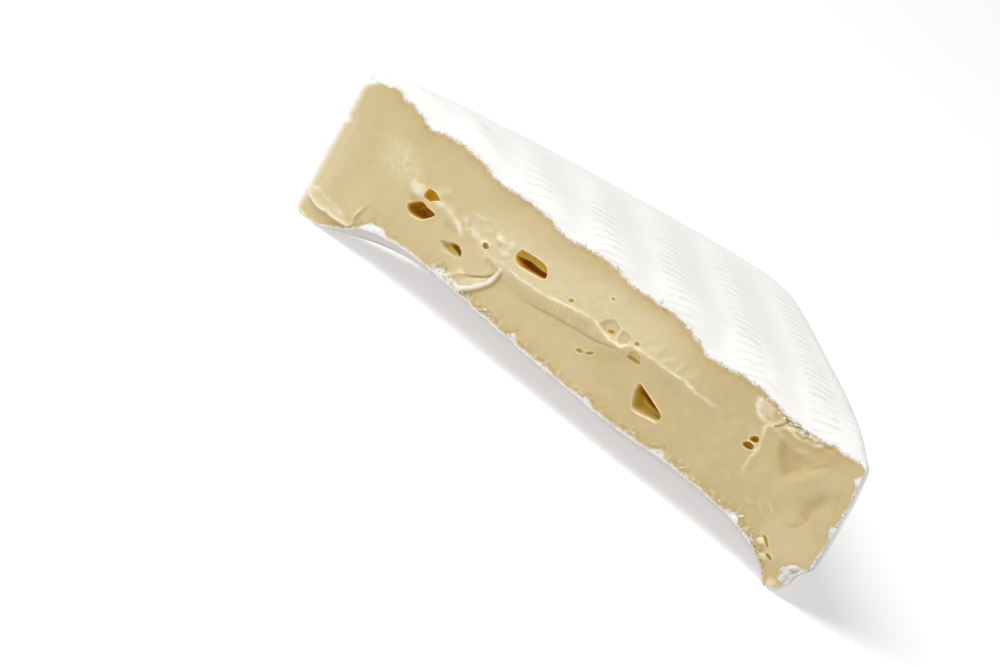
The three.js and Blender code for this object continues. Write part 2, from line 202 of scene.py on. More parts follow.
steps = np.linspace(-1, 1, SECTIONS + 1)
section_x = HALF_CUT * (steps + TIP_CROWDING * np.sin(math.pi * steps))
across = section_x[:, None]
depth = rim_depth(across)
left_change = (TOP_EDGE_RADIUS_LEFT - TOP_EDGE_RADIUS) * (1 - smoothstep(*LEFT_TIP, across))
right_change = (TOP_EDGE_RADIUS_RIGHT - TOP_EDGE_RADIUS) * smoothstep(*RIGHT_TIP, across)
top_radius = TOP_EDGE_RADIUS + left_change + right_change


def edge_path(radius, rows, crowding):
    """Distance behind the cut and drop of a path that runs flat, then rounds over the rim's edge."""
    start = np.arcsin(np.clip(1 - depth * RIM_COSINE / radius, 0, 1))
    flat_end = np.maximum(0, depth - radius / RIM_COSINE)
    flat = flat_end * (np.arange(rows) / rows) ** crowding
    angle = start + (math.pi / 2 - start) * np.arange(EDGE_ROWS + 1) / EDGE_ROWS
    arc = np.maximum(depth - radius * (1 - np.sin(angle)) / RIM_COSINE, 0)
    flat_drop = np.repeat(radius * (1 - np.cos(start)) * np.ones_like(depth), rows, axis=1)
    return np.hstack([flat, arc]), np.hstack([flat_drop, radius * (1 - np.cos(angle))])


top_y, top_drop = edge_path(top_radius, TOP_ROWS, TOP_CROWDING)
bottom_y, bottom_drop = edge_path(BOTTOM_EDGE_RADIUS, BOTTOM_ROWS, BOTTOM_CROWDING)
top_x = np.broadcast_to(across, top_y.shape)
bottom_x = np.broadcast_to(across, bottom_y.shape)
top_z = top_height(top_x, top_y) - top_drop
bottom_z = bottom_height(bottom_x, bottom_y) + bottom_drop
cut_low = bottom_z[:, :1]
cut_high = top_z[:, :1]

front_z = cut_low + (cut_high - cut_low) * np.arange(FRONT_ROWS) / FRONT_ROWS
rim_share = np.arange(1, RIM_ROWS) / RIM_ROWS
rim_z = top_z[:, -1:] + (bottom_z[:, -1:] - top_z[:, -1:]) * rim_share
rim_y = np.repeat(depth, RIM_ROWS - 1, axis=1)
loop_y = np.hstack([np.zeros_like(front_z), top_y, rim_y, bottom_y[:, :0:-1]])
loop_z = np.hstack([front_z, top_z, rim_z, bottom_z[:, :0:-1]])
loop_x = np.broadcast_to(across, loop_y.shape)
LOOP = loop_y.shape[1]

# The skin between the sections, with a fan over each blunt tip
points = np.stack([loop_x, loop_y, loop_z], axis=-1).reshape(-1, 3)
tip_centres = [points[:LOOP].mean(axis=0), points[-LOOP:].mean(axis=0)]
faces = []
for section in range(SECTIONS):
    for step in range(LOOP):
        a = section * LOOP + step
        b = section * LOOP + (step + 1) % LOOP
        faces.append((a, a + LOOP, b + LOOP, b))
for step in range(LOOP):
    following = (step + 1) % LOOP
    faces.append((len(points), step, following))
    last = SECTIONS * LOOP
    faces.append((len(points) + 1, last + following, last + step))
skin = bpy.data.meshes.new("brie_body")
skin.from_pydata(np.vstack([points, tip_centres]).tolist(), [], faces)

# What each point belongs to: the cut face, the top or the rest
on_cut = np.zeros(LOOP)
on_cut[: FRONT_ROWS + 1] = 1
on_top = np.zeros(LOOP)
on_top[FRONT_ROWS : FRONT_ROWS + TOP_ROWS + EDGE_ROWS] = 1
for name, flags in (("cut", on_cut), ("top", on_top)):
    layer = skin.attributes.new(name, "FLOAT", "POINT")
    layer.data.foreach_set("value", np.append(np.tile(flags, SECTIONS + 1), [0, 0]))

# The openings in the cut
# Gas and curd gaps left small holes in the paste, which the knife laid open.
# A deep hole is painted ochre inside as a glow of light through the translucent paste, and browner in its
# deepest pit as painted shade; a shallow cell keeps the colour of the cut.


class Opening(NamedTuple):
    """A hole's outline in x and z, the depth of its floor, how strongly its walls are painted ochre as a
    glow of light through the paste, how brown its pit is painted as shade, how far its floor leans, how
    pale its rim is painted as a highlight and how softly its colour comes in."""

    outline: list
    depth: float
    hole_glow: float
    deep_shade: float = 0.0
    lean: tuple = (0, 0)
    rim: float = 0.2
    soft: float = 0.12


OVAL_CORNERS = 7


def oval(x, z, half_width, half_height, tilt):
    turn = math.radians(tilt)
    angles = [2 * math.pi * i / OVAL_CORNERS for i in range(OVAL_CORNERS)]
    sides = [(half_width * math.cos(a), half_height * math.sin(a)) for a in angles]
    cos, sin = math.cos(turn), math.sin(turn)
    return [(x + a * cos - b * sin, z + a * sin + b * cos) for a, b in sides]


UPPER_TWIN = [(-42.1, 17.6), (-40.3, 17.3), (-39.8, 18.0), (-38.4, 18.8), (-40.1, 19.5), (-41.9, 19.3)]
LOWER_TWIN = [(-44.4, 14.6), (-43.2, 13.3), (-40.2, 13.7), (-37.9, 16), (-40.2, 16.3), (-42.2, 16.5)]
LOWER_TWIN_PIT = [(-43.6, 13.9), (-40.3, 13.8), (-38.2, 15.9), (-40.2, 15.9), (-42.2, 15.3)]
POCKET = [
    (-34.3, 12.9), (-32.0, 14.0), (-30.8, 14.3), (-29.6, 14.0), (-28.7, 13.3), (-28.6, 12.6),
    (-29.3, 12.2), (-31.1, 11.8), (-32.8, 11.8),
]
POCKET_PIT = [
    (-32.6, 13.3), (-30.8, 14.1), (-29.7, 13.9), (-28.8, 13.2), (-28.7, 12.7), (-29.4, 12.4), (-30.5, 12.7),
]
SLOT = [
    (-18.0, 19.5), (-16.3, 18.4), (-10.3, 19.2), (-10.1, 20.5), (-11.6, 21.6), (-16.0, 21.4), (-17.6, 21.1),
]
SLOT_PIT = [
    (-17.9, 19.6), (-16.2, 18.5), (-12.5, 18.8), (-10.3, 19.3), (-10.5, 20.4), (-12.1, 20.1), (-15.0, 20.2),
]
CORNERED = [
    (18.0, 15.0), (17.6, 13.8), (18.3, 11.5), (19.5, 10.3), (24.6, 11.3), (25.2, 12.5), (24.6, 13.0),
    (20.9, 14.2),
]
CORNERED_PIT = [(18.0, 14.8), (18.1, 13.2), (20.6, 12.3), (24.4, 12.2), (24.8, 12.8), (20.9, 14.1)]
CELLS = [
    [(4.8, 19.1), (6.4, 18.5), (8.4, 18.6), (9.1, 19.3), (9.0, 20.7), (7, 21.5), (5.5, 20.6)],
    [(9.7, 20.9), (9.6, 19.2), (10.6, 18.6), (12.1, 19.5), (11.7, 20.8)],
    [(12.8, 18.2), (14.2, 17.5), (16.0, 17.8), (15.6, 19.1), (14.1, 19.6)],
]
CELL_PIT = [(12.9, 18.0), (13.3, 17.3), (15.5, 17.4), (15.9, 17.9), (14.5, 18.2)]
NOTCHES = [
    [(54.8, 7.3), (56.0, 7.2), (57.2, 6.3), (57.6, 5.6), (56.8, 6.0), (55.8, 6.6)],
    [(57.5, 5.0), (58.6, 5.1), (59.7, 4.6), (59.0, 4.3), (58.1, 4.5)],
]
OPENINGS = [
    Opening(UPPER_TWIN, depth=1.2, hole_glow=0.9, lean=(0, -0.1)),
    Opening(LOWER_TWIN, depth=2.9, hole_glow=0.9, deep_shade=0.6, lean=(0.2, -0.2), rim=0.12, soft=0.3),
    Opening(LOWER_TWIN_PIT, depth=3.3, hole_glow=1.0, deep_shade=1.0, lean=(0.2, 0)),
    Opening(POCKET, depth=0.8, hole_glow=0.42, lean=(0.9, 0.2), rim=0.0, soft=0.8),
    Opening(POCKET_PIT, depth=2.0, hole_glow=0.9, deep_shade=0.3, lean=(0.3, 0.1), rim=0.0, soft=0.5),
    Opening(SLOT, depth=1.0, hole_glow=0.6, rim=0.1),
    Opening(SLOT_PIT, depth=3.2, hole_glow=1.0, deep_shade=1.0, lean=(0, -0.1)),
    Opening(CORNERED, depth=2.2, hole_glow=0.6, lean=(0.2, 0.7), soft=0.5),
    Opening(CORNERED_PIT, depth=4.2, hole_glow=1.0, deep_shade=1.0, lean=(0.2, 0.2)),
    Opening(CELLS[0], depth=0.36, hole_glow=0.15, lean=(0.2, -0.2), rim=0.12, soft=0.3),
    Opening(CELLS[1], depth=0.26, hole_glow=0.15, rim=0.1, soft=0.3),
    Opening(CELLS[2], depth=0.3, hole_glow=0.2, lean=(0, -0.2), rim=0.1, soft=0.3),
    Opening(CELL_PIT, depth=0.5, hole_glow=0.5, rim=0.05, soft=0.3),
    Opening(NOTCHES[0], depth=0.28, hole_glow=0.7),
    Opening(NOTCHES[1], depth=0.25, hole_glow=0.7),
    # The pin hole, then small eyes, slits and dimples
    Opening(oval(-24.9, 17.4, 0.8, 0.65, 10), depth=0.45, hole_glow=0.7, rim=0.3),
    Opening(oval(7.6, 19.3, 0.75, 0.4, 10), depth=0.6, hole_glow=0.9),
    Opening(oval(43.8, 19.9, 1.05, 0.62, 25), depth=1.0, hole_glow=0.95, deep_shade=0.05),
    Opening(oval(43.3, 18.3, 1.3, 0.68, 15), depth=1.1, hole_glow=0.95, deep_shade=0.1),
    Opening(oval(13.7, 20.5, 0.6, 0.45, 10), depth=0.22, hole_glow=0.4),
    Opening(oval(-2.7, 19.4, 0.6, 0.4, 20), depth=0.22, hole_glow=0.45),
    Opening(oval(4.5, 24.3, 0.45, 0.3, 0), depth=0.2, hole_glow=0.25),
    Opening(oval(3.6, 12.8, 0.8, 0.4, 15), depth=0.22, hole_glow=0.42),
    Opening(oval(5.7, 13.6, 0.9, 0.35, 35), depth=0.22, hole_glow=0.42),
]
FLOOR_SIZE = 0.5
ROUNDING_POINTS = 5
OUTLINE_TENSION = 0.78


def rounded(outline):
    """The outline as a closed smooth curve that stays close to its corners."""
    corners = np.array(outline, float)
    before = np.roll(corners, 1, axis=0)
    after = np.roll(corners, -1, axis=0)
    beyond = np.roll(corners, -2, axis=0)
    curve = []
    for t in np.arange(ROUNDING_POINTS) / ROUNDING_POINTS:
        slope_here = OUTLINE_TENSION * (after - before) / 2
        slope_next = OUTLINE_TENSION * (beyond - corners) / 2
        bend = 3 * (after - corners) - 2 * slope_here - slope_next
        twist = slope_here + slope_next - 2 * (after - corners)
        curve.append(corners + slope_here * t + bend * t**2 + twist * t**3)
    return np.stack(curve, axis=1).reshape(-1, 2)


def distance_from(line, x, z):
    """Signed distance from a line of points, positive on its left, and the share of the way along it."""
    line = np.array(line, float)
    nearest = np.full(np.shape(x), np.inf)
    side = np.ones(np.shape(x))
    share = np.zeros(np.shape(x))
    pieces = len(line) - 1
    for i in range(pieces):
        (xa, za), (xb, zb) = line[i], line[i + 1]
        dx, dz = xb - xa, zb - za
        t = np.clip(((x - xa) * dx + (z - za) * dz) / (dx * dx + dz * dz), 0, 1)
        away = np.hypot(x - xa - t * dx, z - za - t * dz)
        closer = away < nearest
        nearest = np.where(closer, away, nearest)
        side = np.where(closer, np.where(dx * (z - za) - dz * (x - xa) >= 0, 1, -1), side)
        share = np.where(closer, (i + t) / pieces, share)
    return side * nearest, share


LINE_POINTS = 5


def smoothed(line):
    """More points along a line, on a smooth curve through the given ones."""
    order = np.arange(len(line))
    finer = np.linspace(0, len(line) - 1, LINE_POINTS * (len(line) - 1) + 1)
    across_line, up_line = np.array(line, float).T
    smooth_x = curve_through(list(zip(order, across_line)), finer)
    smooth_z = curve_through(list(zip(order, up_line)), finer)
    return np.stack([smooth_x, smooth_z], axis=1)


def inside_depth(curve, x, z):
    """How far inside a closed curve each point lies, negative outside it."""
    closed = np.vstack([curve, curve[:1]])
    away = np.abs(distance_from(closed, x, z)[0])
    crossings = np.zeros(np.shape(x), int)
    for (xa, za), (xb, zb) in zip(closed[:-1], closed[1:]):
        if za != zb:
            spans = (za > z) != (zb > z)
            crossings += spans & (x < xa + (z - za) * (xb - xa) / (zb - za))
    return np.where(crossings % 2 == 1, away, -away)


# Finer faces round each opening and where the cut is torn, so that walls and folds are smooth
REFINE_MARGIN = 0.7
WELD = 1e-4
CUT_FLATNESS = 1e-3
# Torn places: x and z of the middle, half width and half height
TORN_PLACES = [(-24, 10.5, 10, 6), (-58, 5.5, 9.5, 5), (50, 26, 11, 3.2), (57, 5, 7, 5), (-26, 19, 9, 3)]
curves = [rounded(opening.outline) for opening in OPENINGS]


def in_torn_place(x, z):
    reaches = [np.hypot((x - a) / wide, (z - b) / high) for a, b, wide, high in TORN_PLACES]
    return np.min(reaches, axis=0) < 1


def by_an_opening(x, z):
    return np.max([inside_depth(curve, x, z) for curve in curves], axis=0) > -REFINE_MARGIN


fine = bmesh.new()
fine.from_mesh(skin)
bmesh.ops.remove_doubles(fine, verts=fine.verts, dist=WELD)
cut_layer = fine.verts.layers.float["cut"]
for chosen_by, cuts in ((in_torn_place, 1), (by_an_opening, 2)):
    cut_faces = [f for f in fine.faces if all(v[cut_layer] > 0.5 for v in f.verts)]
    face_x, _, face_z = np.array([f.calc_center_median() for f in cut_faces]).T
    chosen = chosen_by(face_x, face_z)
    edges = dict.fromkeys(edge for f, here in zip(cut_faces, chosen) if here for edge in f.edges)
    bmesh.ops.subdivide_edges(fine, edges=list(edges), cuts=cuts, use_grid_fill=True)
bmesh.ops.recalc_face_normals(fine, faces=fine.faces)
fine.to_mesh(skin)
fine.free()

count = len(skin.vertices)
place = np.empty(count * 3)
skin.vertices.foreach_get("co", place)
place = place.reshape(-1, 3)


def stored(name):
    values = np.empty(count)
    skin.attributes[name].data.foreach_get("value", values)
    return values


is_cut = (stored("cut") > 0.5) & (np.abs(place[:, 1]) < CUT_FLATNESS)
is_top = (stored("top") > 0.5) & ~is_cut
is_outside = ~is_cut & ~is_top

# The face of the cut
# A knife pressed through soft paste: it left a ledge, a torn flap, smears, folds and fine lines.
# The ripe outer paste is smooth and darker, and the young core is chalky and pale.


class Fold(NamedTuple):
    """A fold along a line of x and z: its rise, its reach to the line's left and right, how pale its crest
    is painted as a highlight and how wide it is, and the shares of its length where it has grown and where
    it starts to die."""

    line: list
    rise: float
    left: float
    right: float
    pale: float = 0.0
    crest: float = 0.3
    grown: float = 0.2
    dying: float = 0.8


class Groove(NamedTuple):
    """A soft furrow along a line of x and z, or a soft ridge where its depth is negative: its depth
    and half width, how dark its bottom is painted as shade, and where it has grown and starts to die."""

    line: list
    depth: float
    width: float
    dark: float = 0.0
    grown: float = 0.25
    dying: float = 0.75


class Swelling(NamedTuple):
    """A soft lump or hollow: its middle, half sizes and rise, how much paler it is painted, in places as a
    highlight, and how much darker it is painted as shade.
    """

    x: float
    z: float
    half_width: float
    half_height: float
    rise: float = 0.0
    pale: float = 0.0
    dark: float = 0.0


LEDGE = [
    (-25.3, 16.5), (-23.4, 16.1), (-20.1, 16.8), (-17.5, 16.7), (-14.8, 16.6), (-9.7, 17.0), (-4.9, 17.7),
    (0.3, 18.9), (4.1, 19.2), (5.3, 18.6), (8.2, 18.1), (11.1, 18.2), (13.0, 19.8), (15.4, 20.1),
    (18.7, 20.3), (22.1, 20.2), (26.4, 20.6), (28.9, 20.2), (32.2, 20.2), (35.2, 20.7), (38.8, 22.3),
]
LEDGE_RISE = 0.9
LEDGE_SLOPE = 5.0
LEDGE_FOOT = 3.2
FLAP_LIP = [
    (-28.6, 6.6), (-27.7, 7.0), (-25.6, 7.3), (-24.3, 8.2), (-22.2, 9.9), (-20.3, 12.0), (-19.4, 13.6),
    (-19.1, 15.0), (-18.9, 16.3),
]
FLAP_RISE = 0.4125
LIP_RISE = 0.1875
LIP_THICKNESS = 1.2
LIP_TAPER = 0.8
FLAP_SLOPE = 4.0
SMEAR = [
    (-65.8, 4.5), (-63.7, 3.6), (-61.4, 3.1), (-59.4, 3.5), (-57.0, 3.4), (-54.7, 3.7), (-53.7, 3.9),
    (-53.1, 4.8), (-53.2, 6.3), (-52.8, 7.8), (-51.7, 9.4),
]
SMEAR_RISE = 0.5
SMEAR_SLOPE = 2.2
DENT_LEFT = [(46.6, 23.9), (48.4, 22.6), (49.8, 20.8), (52.9, 17.1)]
DENT_RIGHT = [(52.9, 17.1), (55.6, 20.1), (57.8, 22.7), (59.9, 24.4)]
DENT_DEPTH = 1.0
DENT_LENGTH = 4.5
FOLDS = [
    # The inner edge of the smear, the arc under the twins and the fold at the left of the flap
    Fold(
        [(-65.7, 4.8), (-63.3, 5.8), (-60.8, 5.5), (-57.5, 5.3), (-55.1, 5.0)],
        rise=0.16, left=0.7, right=0.5, pale=0.6, crest=0.45,
    ),
    Fold(
        [(-39.7, 17.6), (-36.3, 18.2), (-33.5, 17.6), (-31.2, 16.3), (-30.5, 15.0)],
        rise=0.3, left=2.4, right=0.6, pale=1.0, crest=0.6, grown=0.1,
    ),
    Fold(
        [(-31.5, 6.9), (-28.8, 8.2), (-27.9, 9.4), (-27.0, 10.6), (-25.4, 11.2)],
        rise=0.35, left=0.8, right=0.5, pale=0.7, crest=0.4,
    ),
    # The crease, with the pale slope on its right
    Fold(
        [(44.9, 11.7), (45.2, 14.7), (45.3, 17.4), (45.6, 19.8), (44.9, 22.0), (44.2, 23.4)],
        rise=0.6, left=0.6, right=3.2, pale=0.55, crest=0.42, grown=0.4, dying=0.95,
    ),
    # The rolled edge of the torn lump and the layers beside it
    Fold(
        [(40.7, 27.2), (40.9, 25.6), (42.0, 24.2), (44.0, 24.0), (45.9, 24.3), (47.0, 25.4), (47.4, 26.4)],
        rise=0.5, left=1.2, right=0.6, pale=0.9, crest=0.6, grown=0.12, dying=0.9,
    ),
    Fold(
        [(47.6, 25.0), (48.5, 25.1), (51.6, 25.2), (55.3, 26.2), (57.2, 27.2)],
        rise=0.4, left=0.9, right=0.6, pale=0.65, crest=0.4,
    ),
    # The upper edge of the dent
    Fold(
        [(46.4, 24.1), (47.0, 23.5), (49.0, 22.9), (50.8, 22.8), (53.5, 23.7), (55.5, 24.6)],
        rise=0.2, left=1.2, right=0.8, pale=0.2, crest=0.5,
    ),
    # Wrinkles at the foot of the crease
    Fold([(47.6, 10.4), (49.1, 10.2), (50.3, 10.7)], rise=0.18, left=0.6, right=0.25, pale=0.2),
    Fold(
        [(50.0, 11.4), (51.3, 11.0), (52.3, 10.4), (53.0, 10.6)],
        rise=0.18, left=0.6, right=0.25, pale=0.2,
    ),
    Fold([(52.4, 12.2), (53.6, 11.7), (54.4, 10.9)], rise=0.16, left=0.6, right=0.25, pale=0.2),
]
GROOVES = [
    # Below the ledge, over the flap and beside the torn lump
    Groove(
        [(-15, 13.2), (-8.1, 14.3), (-1.2, 15.3), (5.2, 16.1), (9.5, 17.3), (12.8, 17.6)],
        depth=0.25, width=0.32, dark=0.45,
    ),
    Groove(
        [(-26.6, 10.2), (-25.0, 10.8), (-23.2, 11.8), (-22.0, 12.5), (-20.8, 13.5), (-20.0, 14.6)],
        depth=0.5, width=0.24, dark=1.0, grown=0.4,
    ),
    Groove([(45.8, 23.9), (46.5, 24.3), (47.7, 26.0), (48.6, 27.0)], depth=0.45, width=0.28, dark=1.0),
    # The dent's right arm and its crease, then the swell, the valley beside it and its curl
    Groove(
        [(52.6, 16.2), (55.8, 19.0), (58.2, 21.6), (61.0, 23.6)],
        depth=-0.4, width=1.0, grown=0.45, dying=0.6,
    ),
    Groove([(56.6, 22.0), (58.0, 23.3), (59.9, 24.6)], depth=0.12, width=0.25, dark=0.6),
    Groove([(62.5, 23.0), (59.5, 20.4), (57.0, 17.5), (54.0, 15.5), (50.5, 14.5)], depth=-0.3, width=1.8),
    Groove(
        [(64.3, 22.0), (61.7, 18.9), (60.4, 15.8), (60.3, 13.5)],
        depth=0.35, width=1.4, dark=0.5, grown=0.4, dying=0.9,
    ),
    Groove(
        [(56.9, 10.9), (58.2, 11.2), (59.5, 12.0), (60.4, 13.4), (60.6, 15.0)],
        depth=0.16, width=0.35, dark=0.4,
    ),
    # By the notches and under the torn top edge
    Groove([(53.4, 4.4), (55.4, 4.6), (57.6, 4.8)], depth=0.2, width=0.25, dark=0.35),
    Groove(
        [(47.9, 25.7), (50.2, 26.4), (52.6, 26.9), (54.6, 27.3), (58.6, 27.4)],
        depth=0.25, width=0.3, dark=0.8,
    ),
]
KNIFE_LINES = [
    [(-62.4, 9.0), (-59.1, 9.3), (-51.8, 9.5), (-44.7, 9.8), (-36, 10.2)],
    [(-58, 7.1), (-48, 7.6), (-38, 8.0)],
    [(-8, 8.0), (10, 8.6), (24, 9.2)],
    [(26, 15.6), (34, 16.4), (41, 16.2)],
]
KNIFE_STEP = 0.05
KNIFE_EDGE = 0.12
KNIFE_REACH = 1.3
SWELLINGS = [
    # The torn lump and its hollow, the yellow lumps beside it, tongues by the notches and the hanging nub;
    # the hollow, the patch behind the yellow lumps and the one under the torn edge are darkened with
    # painted shade
    Swelling(43.0, 25.8, 2.8, 2.0, rise=0.25, pale=0.5),
    Swelling(43.8, 26.9, 1.5, 0.8, rise=-0.15, dark=0.35),
    Swelling(51.6, 26.3, 5.2, 1.0, dark=0.5),
    Swelling(49.4, 25.6, 1.6, 0.7, rise=0.35, pale=0.5),
    Swelling(51.6, 26.1, 1.4, 0.7, rise=0.4, pale=0.55),
    Swelling(54.2, 26.7, 1.6, 0.6, rise=0.35, pale=0.5),
    Swelling(57.4, 27.0, 1.8, 0.8, rise=-0.2, dark=0.5),
    Swelling(55.4, 6.2, 1.3, 0.9, rise=0.45, pale=0.7),
    Swelling(57.4, 4.2, 1.3, 0.7, rise=0.35, pale=0.5),
    Swelling(64.2, 1.2, 2.6, 1.5, rise=0.5, pale=0.6),
    # Bright shoulder of the upper twin, flakes by the slot, hollows by the flap, the arc and the right end,
    # with painted shade in the hollows by the flap and at the right end
    Swelling(-43.8, 18.0, 2.8, 1.9, rise=0.35, pale=0.95),
    Swelling(-19.6, 20.4, 1.5, 1.2, rise=0.35, pale=0.4),
    Swelling(-22.8, 20.2, 1.4, 1.0, rise=0.3, pale=0.3),
    Swelling(-21.6, 15.0, 2.4, 1.3, rise=-0.35, dark=0.12),
    Swelling(-33.0, 15.8, 3.2, 1.4, rise=-0.25),
    Swelling(65.0, 20.0, 1.6, 3.5, rise=-0.25, dark=0.15),
    # The lower rim of the three-cornered pocket, painted pale as a highlight
    Swelling(20.5, 10.5, 2.6, 0.6, rise=0.2, pale=0.55),
    Swelling(23.4, 10.9, 2.2, 0.5, rise=0.2, pale=0.6),
    # The sloping way into the lower twin and the tan hollow by the arc, both darkened with painted shade,
    # then broad stretches darkened with painted shade, and paler stretches
    Swelling(-43.6, 16.1, 1.8, 1.4, rise=-0.2, dark=0.35),
    Swelling(-30.5, 18.2, 1.8, 1.1, rise=-0.2, dark=0.2),
    Swelling(12, 13.5, 20, 5.5, dark=0.16),
    Swelling(36, 15.5, 10, 5.5, dark=0.1),
    Swelling(-8, 14.6, 12, 2.0, dark=0.14),
    Swelling(61, 25.5, 6.5, 2.2, dark=0.2),
    Swelling(60, 8.5, 8, 5.5, pale=0.22),
    Swelling(-66, 12, 7, 14, pale=0.3),
]
SOFT_MIDDLE = 0.2


def ridge(distance, width):
    """1 on a line, fading out to both sides."""
    return np.exp(-((distance / width) ** 2))


def oval_reach(x, z, half_width, half_height):
    """0 in the middle of an oval on the cut and 1 on its edge."""
    return np.hypot((cx - x) / half_width, (cz - z) / half_height)


def patch(x, z, half_width, half_height, middle=SOFT_MIDDLE):
    """A soft oval patch on the cut, 1 in its middle and 0 at its edge."""
    return 1 - smoothstep(middle, 1, oval_reach(x, z, half_width, half_height))


def between(share, grown, dying):
    """Grows from a line's start and dies towards its end."""
    return smoothstep(0, grown, share) * (1 - smoothstep(dying, 1, share))


def slopes_from(distance, left, right):
    """1 on a line, falling away over its left and right reach."""
    return np.where(distance > 0, np.exp(-distance / left), np.exp(distance / right))


cx = place[is_cut, 0]
cz = place[is_cut, 2]
low_here = np.interp(cx, section_x, cut_low[:, 0])
high_here = np.interp(cx, section_x, cut_high[:, 0])
to_top = high_here - cz
to_bottom = cz - low_here
to_left = cx + HALF_CUT
to_right = HALF_CUT - cx
to_edge = np.minimum.reduce([to_top, to_bottom, to_left, to_right])

# Unevenness that breaks up every line on the cut, in layers of height, size and seed
JITTER = [(0.25, 1.9, 20), (0.14, 0.8, 21)]
WOBBLE = [(0.5, 4.5, 40)]
UNEVEN = [(0.3, 1.5, 36), (0.2, 0.7, 37)]
BREAKS = [(0.8, 2.4, 34)]
BREAKS_MEAN = 0.7
BREAKS_LEAST = 0.3
TORN_JITTER = 0.5
GROOVE_JITTER = 0.4
FOLD_JITTER = 0.8
jitter = layered(cx, cz, JITTER)
wobble = FOLD_JITTER * jitter + layered(cx, cz, WOBBLE)
uneven = layered(cx, cz, UNEVEN)
broken = np.clip(BREAKS_MEAN + layered(cx, cz, BREAKS), BREAKS_LEAST, 1)

# The ledge: the paste above it stands proud, its crest is painted pale as a highlight, and fine striations
# run down its foot
LEDGE_GROWN = 0.2
LEDGE_DYING = 0.8
LEDGE_CREST_RISE = 0.2
LEDGE_CREST_AT = 0.1
LEDGE_CREST_WIDTH = 0.25
LEDGE_PALE_AT = 0.05
LEDGE_PALE_WIDTH = 0.22
STRIAE_X = -1
STRIAE_SPREAD = 6.5
STRIAE_PITCH = 1.1
STRIAE_END = (-0.6, 0)
STRIAE_WANDER = [(0.4, 2.5, 23)]
STRIAE_RISE = 0.05
STRIAE_PALE = 0.2
ledge, ledge_share = distance_from(LEDGE, cx, cz)
ledge += jitter
ledge_fade = between(ledge_share, LEDGE_GROWN, LEDGE_DYING)
ledge_foot = 1 - smoothstep(0, LEDGE_FOOT, -ledge)
relief = LEDGE_RISE * ledge_fade * np.where(ledge > 0, np.exp(-ledge / LEDGE_SLOPE), ledge_foot)
relief += LEDGE_CREST_RISE * ledge_fade * broken * ridge(ledge - LEDGE_CREST_AT, LEDGE_CREST_WIDTH)
# Painted highlight along the ledge's crest
pale = ledge_fade * broken * ridge(ledge - LEDGE_PALE_AT, LEDGE_PALE_WIDTH)
striated = smoothstep(-LEDGE_FOOT, 1 - LEDGE_FOOT, ledge) * (1 - smoothstep(*STRIAE_END, ledge))
striated *= ridge(cx - STRIAE_X, STRIAE_SPREAD)
striae = np.sin(2 * math.pi * (cx + layered(cx, cz, STRIAE_WANDER)) / STRIAE_PITCH)
relief += STRIAE_RISE * striated * striae
pale += STRIAE_PALE * striated * smoothstep(0.2, 1, striae)

# The flap: a torn sheet with a thin white lip, lifted off the paste below it
LIP_GROWN = 0.06
LIP_DYING = 0.93
LIP_UNEVEN = [(0.9, 2.2, 42)]
LIP_EDGE = (-0.12, 0.12)
LIP_END = (-0.1, 0.25)
LIP_LUMPS = 1.5
FLAP_UNDERCUT = 0.4
FLAP_PALE = 0.35
FLAP_PALE_AT = 1.4
FLAP_PALE_WIDTH = 0.9
FLAP_PALE_END = (0.5, 0.8)
UNDER_LIP_SHADOW = 0.9
UNDER_LIP_GROWN = 0.15
UNDER_LIP_DYING = 0.8
UNDER_LIP_WIDTH = 0.22
lip, lip_share = distance_from(smoothed(FLAP_LIP), cx, cz)
lip += TORN_JITTER * jitter
lip_fade = between(lip_share, LIP_GROWN, LIP_DYING)
lip_thickness = LIP_THICKNESS * (1 - LIP_TAPER * lip_share) * (1 + layered(cx, cz, LIP_UNEVEN))
on_lip = smoothstep(*LIP_EDGE, lip) * (1 - smoothstep(*LIP_END, lip - lip_thickness))
flap = np.where(lip > 0, np.exp(-lip / FLAP_SLOPE), 1 - smoothstep(0, FLAP_UNDERCUT, -lip))
relief += FLAP_RISE * lip_fade * flap
relief += LIP_RISE * lip_fade * on_lip * (1 + LIP_LUMPS * uneven)
white_lip = lip_fade * on_lip
flap_pale = FLAP_PALE * (lip > 0) * (1 - smoothstep(*FLAP_PALE_END, lip_share))
pale += flap_pale * lip_fade * ridge(lip - FLAP_PALE_AT, FLAP_PALE_WIDTH)
# Painted shadow: a thin dark line just under the lip
under_lip = between(lip_share, UNDER_LIP_GROWN, UNDER_LIP_DYING)
dark = UNDER_LIP_SHADOW * under_lip * ridge(lip + FLAP_UNDERCUT, UNDER_LIP_WIDTH)

# The smear at the left tip: a pale sheet above the line, and a sunk corner below it, darkened with painted
# shade
SMEAR_RIGHT = (-56, -50)
SMEAR_GROWN = 0.06
SMEAR_DYING = 0.85
SMEAR_SINK = 0.6
SMEAR_SINK_REACH = 0.8
SMEAR_CREST_RISE = 0.16
SMEAR_CREST_AT = 0.2
SMEAR_CREST_WIDTH = 0.3
SMEAR_LINE_PALE = 0.65
SMEAR_LINE_AT = 0.15
SMEAR_LINE_WIDTH = 0.28
SMEAR_PALE = 0.3
SMEAR_PALE_AT = 0.9
SMEAR_PALE_WIDTH = 1.0
SMEAR_PALE_END = (0.5, 0.7)
SMEAR_SHADE = 0.2
SMEAR_DARK_START = (0.1, 0.4)
smear, smear_share = distance_from(smoothed(SMEAR), cx, cz)
smear += TORN_JITTER * jitter
smear_here = 1 - smoothstep(*SMEAR_RIGHT, cx)
smear_fade = between(smear_share, SMEAR_GROWN, SMEAR_DYING)
smear_foot = -SMEAR_SINK * smoothstep(0, SMEAR_SINK_REACH, -smear)
